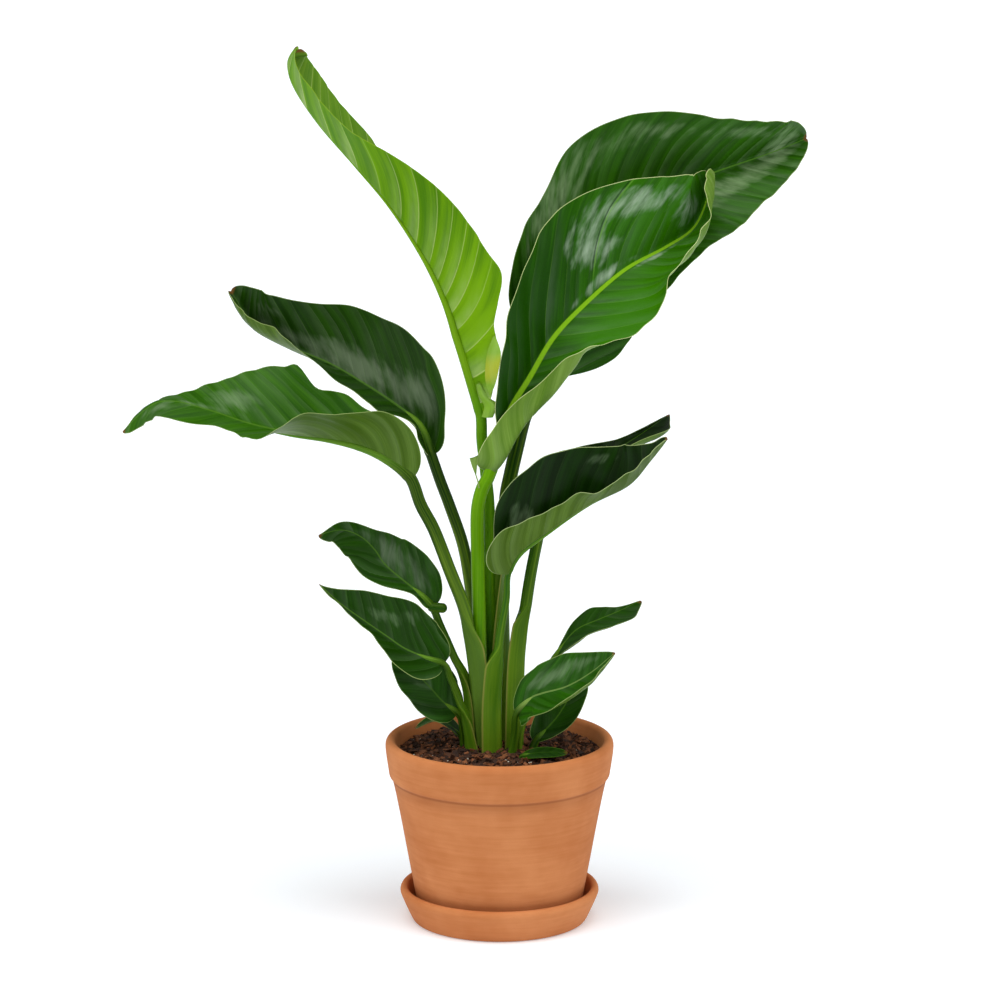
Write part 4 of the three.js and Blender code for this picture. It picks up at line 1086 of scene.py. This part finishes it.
def bark(name):
    s = Shader(name, roughness=0.8, IOR=1.4)
    grain = s.noise(s.position(), BARK_GRAINS, detail=3.0, roughness=0.6)
    s.base(s.step(s.read("place")[0], 0.0, 1.0), *BARK)
    s.paint(s.step(grain, *BARK_PIT_RANGE), BARK_PITS)
    s.bump(grain, strength=0.5, distance=1.0)
    return s.material


def white_grain(name):
    s = Shader(name, roughness=0.75)
    s.base(s.noise(s.position(), WHITE_GRAINS), *WHITE_GRAIN)
    return s.material


def eased(profile):
    """A closed outline with its corners cut a little at each pass."""
    p = np.array(profile, float)
    for _ in range(CORNER_PASSES):
        ahead = np.roll(p, -1, 0)
        step = CORNER_CUT * (ahead - p)
        p = np.stack([p + step, ahead - step], 1).reshape(-1, 2)
    return p


def turned(profile):
    """Points and faces of a ring turned from a closed outline of radius and height."""
    faces = grid_faces(len(profile), TURNED_SIDES, closed=True, looped=True)
    return vectors(*circle(profile[:, :1], TURNED_SIDES), profile[:, 1:]), faces


def pot_profile():
    foot = SAUCER_FLOOR
    floor = foot + POT_FLOOR
    r, h, collar = RIM_RADIUS, RIM_HEIGHT, COLLAR_BOTTOM
    outside = [
        [DRAIN_RADIUS, foot], [POT_FOOT_RADIUS - 2, foot], [POT_FOOT_RADIUS, foot + 2],
        [r - 7.6, collar], [r - 4, collar + 2.5], [r - 3.4, collar + 6],
    ]
    rim = [
        [r, h - 8.5], [r - 1, h - 2.5], [r - 5, h], [r - 9, h - 2], [r - 10.5, h - 6.5], [r - 12, h - 13.5],
    ]
    inside = [
        [r - 16, collar], [POT_FOOT_RADIUS - 8, floor + 2], [POT_FOOT_RADIUS - 10, floor],
        [DRAIN_RADIUS, floor],
    ]
    return outside + rim + inside


def saucer_profile():
    r, h, floor = SAUCER_RADIUS, SAUCER_HEIGHT, SAUCER_FLOOR
    return [
        [MIDDLE_RADIUS, 0], [r - 12.7, 0], [r - 10.7, 1.5], [r - 0.7, h - 7.5], [r, h - 4],
        [r - 1.7, h - 0.7], [r - 4.2, h], [r - 6.7, h - 1], [r - 8.2, h - 4.5], [r - 13.7, floor + 2],
        [r - 15.7, floor], [MIDDLE_RADIUS, floor],
    ]


def soil_height(x, y):
    inner = 1 - np.hypot(x, y) / SOIL_RADIUS
    a, b, c, d = SOIL_WAVES
    lumps = np.sin(a * x + 1) * np.cos(b * y) + np.sin(c * (x + y)) * np.cos(d * (x - y))
    relief = SOIL_RELIEF * lumps * np.minimum(1, SOIL_RISE * inner)
    return SOIL_CROWN * smooth(inner / SOIL_CROWN_REACH) + relief


def add_soil(build, rng):
    """The soil down to the pot floor, with a rough top."""
    floor = SAUCER_FLOOR + POT_FLOOR
    side = np.array([
        [MIDDLE_RADIUS, floor], [POT_FOOT_RADIUS - 10.6, floor], [POT_FOOT_RADIUS - 8.4, floor + 2],
        [RIM_RADIUS - 16.4, COLLAR_BOTTOM],
    ])
    rings = SOIL_RADIUS * (1 - np.linspace(0, SOIL_RING_REACH, SOIL_RINGS))
    radii = np.concatenate([side[:, 0], rings])[:, None]
    x, y = circle(radii, TURNED_SIDES)
    calm = smooth((SOIL_RADIUS - np.hypot(x, y)) / SOIL_CALM_EDGE)
    z = SOIL_EDGE + soil_height(x, y) + rng.normal(0, SOIL_ROUGHNESS, x.shape) * calm
    z[:len(side)] = side[:, 1:]
    hue = vectors(np.full(x.shape, SOIL_HUE), 0, 0)
    build.add(vectors(x, y, z), tube_faces(len(radii), TURNED_SIDES), 0, place=hue)


CHIP_CORNERS = np.array([
    [-1, -1, -1], [1, -1, -1], [1, 1, -1], [-1, 1, -1], [-1, -1, 1], [1, -1, 1], [1, 1, 1], [-1, 1, 1],
])
CHIP_FACES = [[0, 3, 2, 1], [4, 5, 6, 7], [0, 1, 5, 4], [1, 2, 6, 5], [2, 3, 7, 6], [3, 0, 4, 7]]


def add_chips(build, rng, kind, count, lengths, flat, narrow):
    """Loose chips on the soil, each a block with its corners cut at random."""
    for _ in range(count):
        radius = (SOIL_RADIUS - CHIP_EDGE_GAP) * math.sqrt(rng.random())
        bearing = FULL_TURN * rng.random()
        x, y = radius * math.cos(bearing), radius * math.sin(bearing)
        size = rng.uniform(*lengths) * rng.uniform(*CHIP_SHRINK)
        half = 0.5 * size * np.array([1.0, rng.uniform(*narrow), rng.uniform(*flat)])
        corners = CHIP_CORNERS * half * rng.uniform(*CHIP_CORNER_CUT, CHIP_CORNERS.shape)
        roll, pitch, yaw = rng.normal(0, CHIP_ROLL), rng.normal(0, CHIP_PITCH), rng.uniform(0, FULL_TURN)
        turn = np.array(Euler((roll, pitch, yaw)).to_matrix())
        lift = rng.uniform(*CHIP_LIFT) * size * 0.5
        place = corners @ turn.T + [x, y, SOIL_EDGE + soil_height(x, y) + lift]
        hue = vectors(np.full(len(corners), rng.random() ** CHIP_HUE_POWER), 0, 0)
        build.add(place, CHIP_FACES, kind, place=hue)


def keep(obj, slot, *nodes):
    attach(obj, "root")
    if nodes:
        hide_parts(*nodes)


def make_leaf(name, leaf, look, rng):
    axis = Axis(leaf)
    build = Build()
    add_blade(build, leaf, look, axis, rng)
    add_stem(build, leaf, axis)
    if leaf.spur:
        add_spur(build, *leaf.spur)
    for left_edge, right_edge, shade in FLAPS.get(name, []):
        add_flap(build, left_edge, right_edge, shade)
    skins = [blade_skin(name, look, "upper"), blade_skin(name, look, "under"), stalk_skin(name, look)]
    keep(build.make(f"{name}_fine", skins), look["slot"], name)


def make_clay_pieces():
    terracotta = clay("terracotta")
    for name, profile in (("pot", pot_profile()), ("saucer", saucer_profile())):
        build = Build()
        build.add(*turned(eased(profile)), 0)
        keep(build.make(f"{name}_fine", [terracotta], sharp_deg=60.0), "terracotta", name)


def make_soil():
    rng = np.random.default_rng(SOIL_SEED)
    build = Build()
    add_soil(build, rng)
    keep(build.make("soil_fine", [bark("soil")]), "bark_soil", "potting_soil")
    build = Build()
    add_chips(build, rng, 0, **CHIPS)
    add_chips(build, rng, 1, **PERLITE)
    keep(build.make("bark_chips", [bark("bark"), white_grain("perlite")], sharp_deg=20.0), "bark_soil")


def make_floor():
    size = FLOOR_SIZE / 2
    corners = [(-size, -size, 0), (size, -size, 0), (size, size, 0), (-size, size, 0)]
    mesh = bpy.data.meshes.new("floor")
    mesh.from_pydata(corners, [], [[0, 1, 2, 3]])
    glow = {"Emission_Color": WHITE, "Emission_Strength": FLOOR_GLOW}
    paper = Shader("floor", FLOOR_ROUGHNESS, Specular_IOR_Level=0.0, **glow)
    paper.feed(paper.inputs["Base Color"], FLOOR_COLOUR)
    mesh.materials.append(paper.material)
    ground = add_object("floor", mesh)


def make_lights():
    world = bpy.data.worlds.new("world")
    world.use_nodes = True
    background = world.node_tree.nodes["Background"]
    background.inputs["Color"].default_value = WHITE
    background.inputs["Strength"].default_value = WORLD_STRENGTH
    bpy.context.scene.world = world
    for name, light in LIGHTS.items():
        data = bpy.data.lights.new(name, "SUN")
        data.energy = light["strength"]
        data.color = LIGHT_COLOUR
        data.angle = math.radians(light["size"])
        lamp = add_object(name, data)
        lamp.rotation_euler = (math.radians(90 - light["height"]), 0, math.radians(light["azimuth"]))


def make_camera():
    data = bpy.data.cameras.new("camera")
    data.lens = CAMERA_LENS
    data.shift_x = CAMERA_SHIFT_X
    data.clip_end = CAMERA_FAR
    camera = add_object("camera", data)
    camera.location = CAMERA_AT
    camera.rotation_euler = (math.radians(90 - CAMERA_PITCH_DEG), 0, 0)
    bpy.context.scene.camera = camera
    bpy.context.scene.view_settings.view_transform = "Standard"


for number, (name, leaf) in enumerate(LEAVES.items()):
    make_leaf(name, leaf, LOOKS[name], np.random.default_rng(LEAF_SEED + number))
make_clay_pieces()
make_soil()
make_floor()
make_lights()
make_camera()
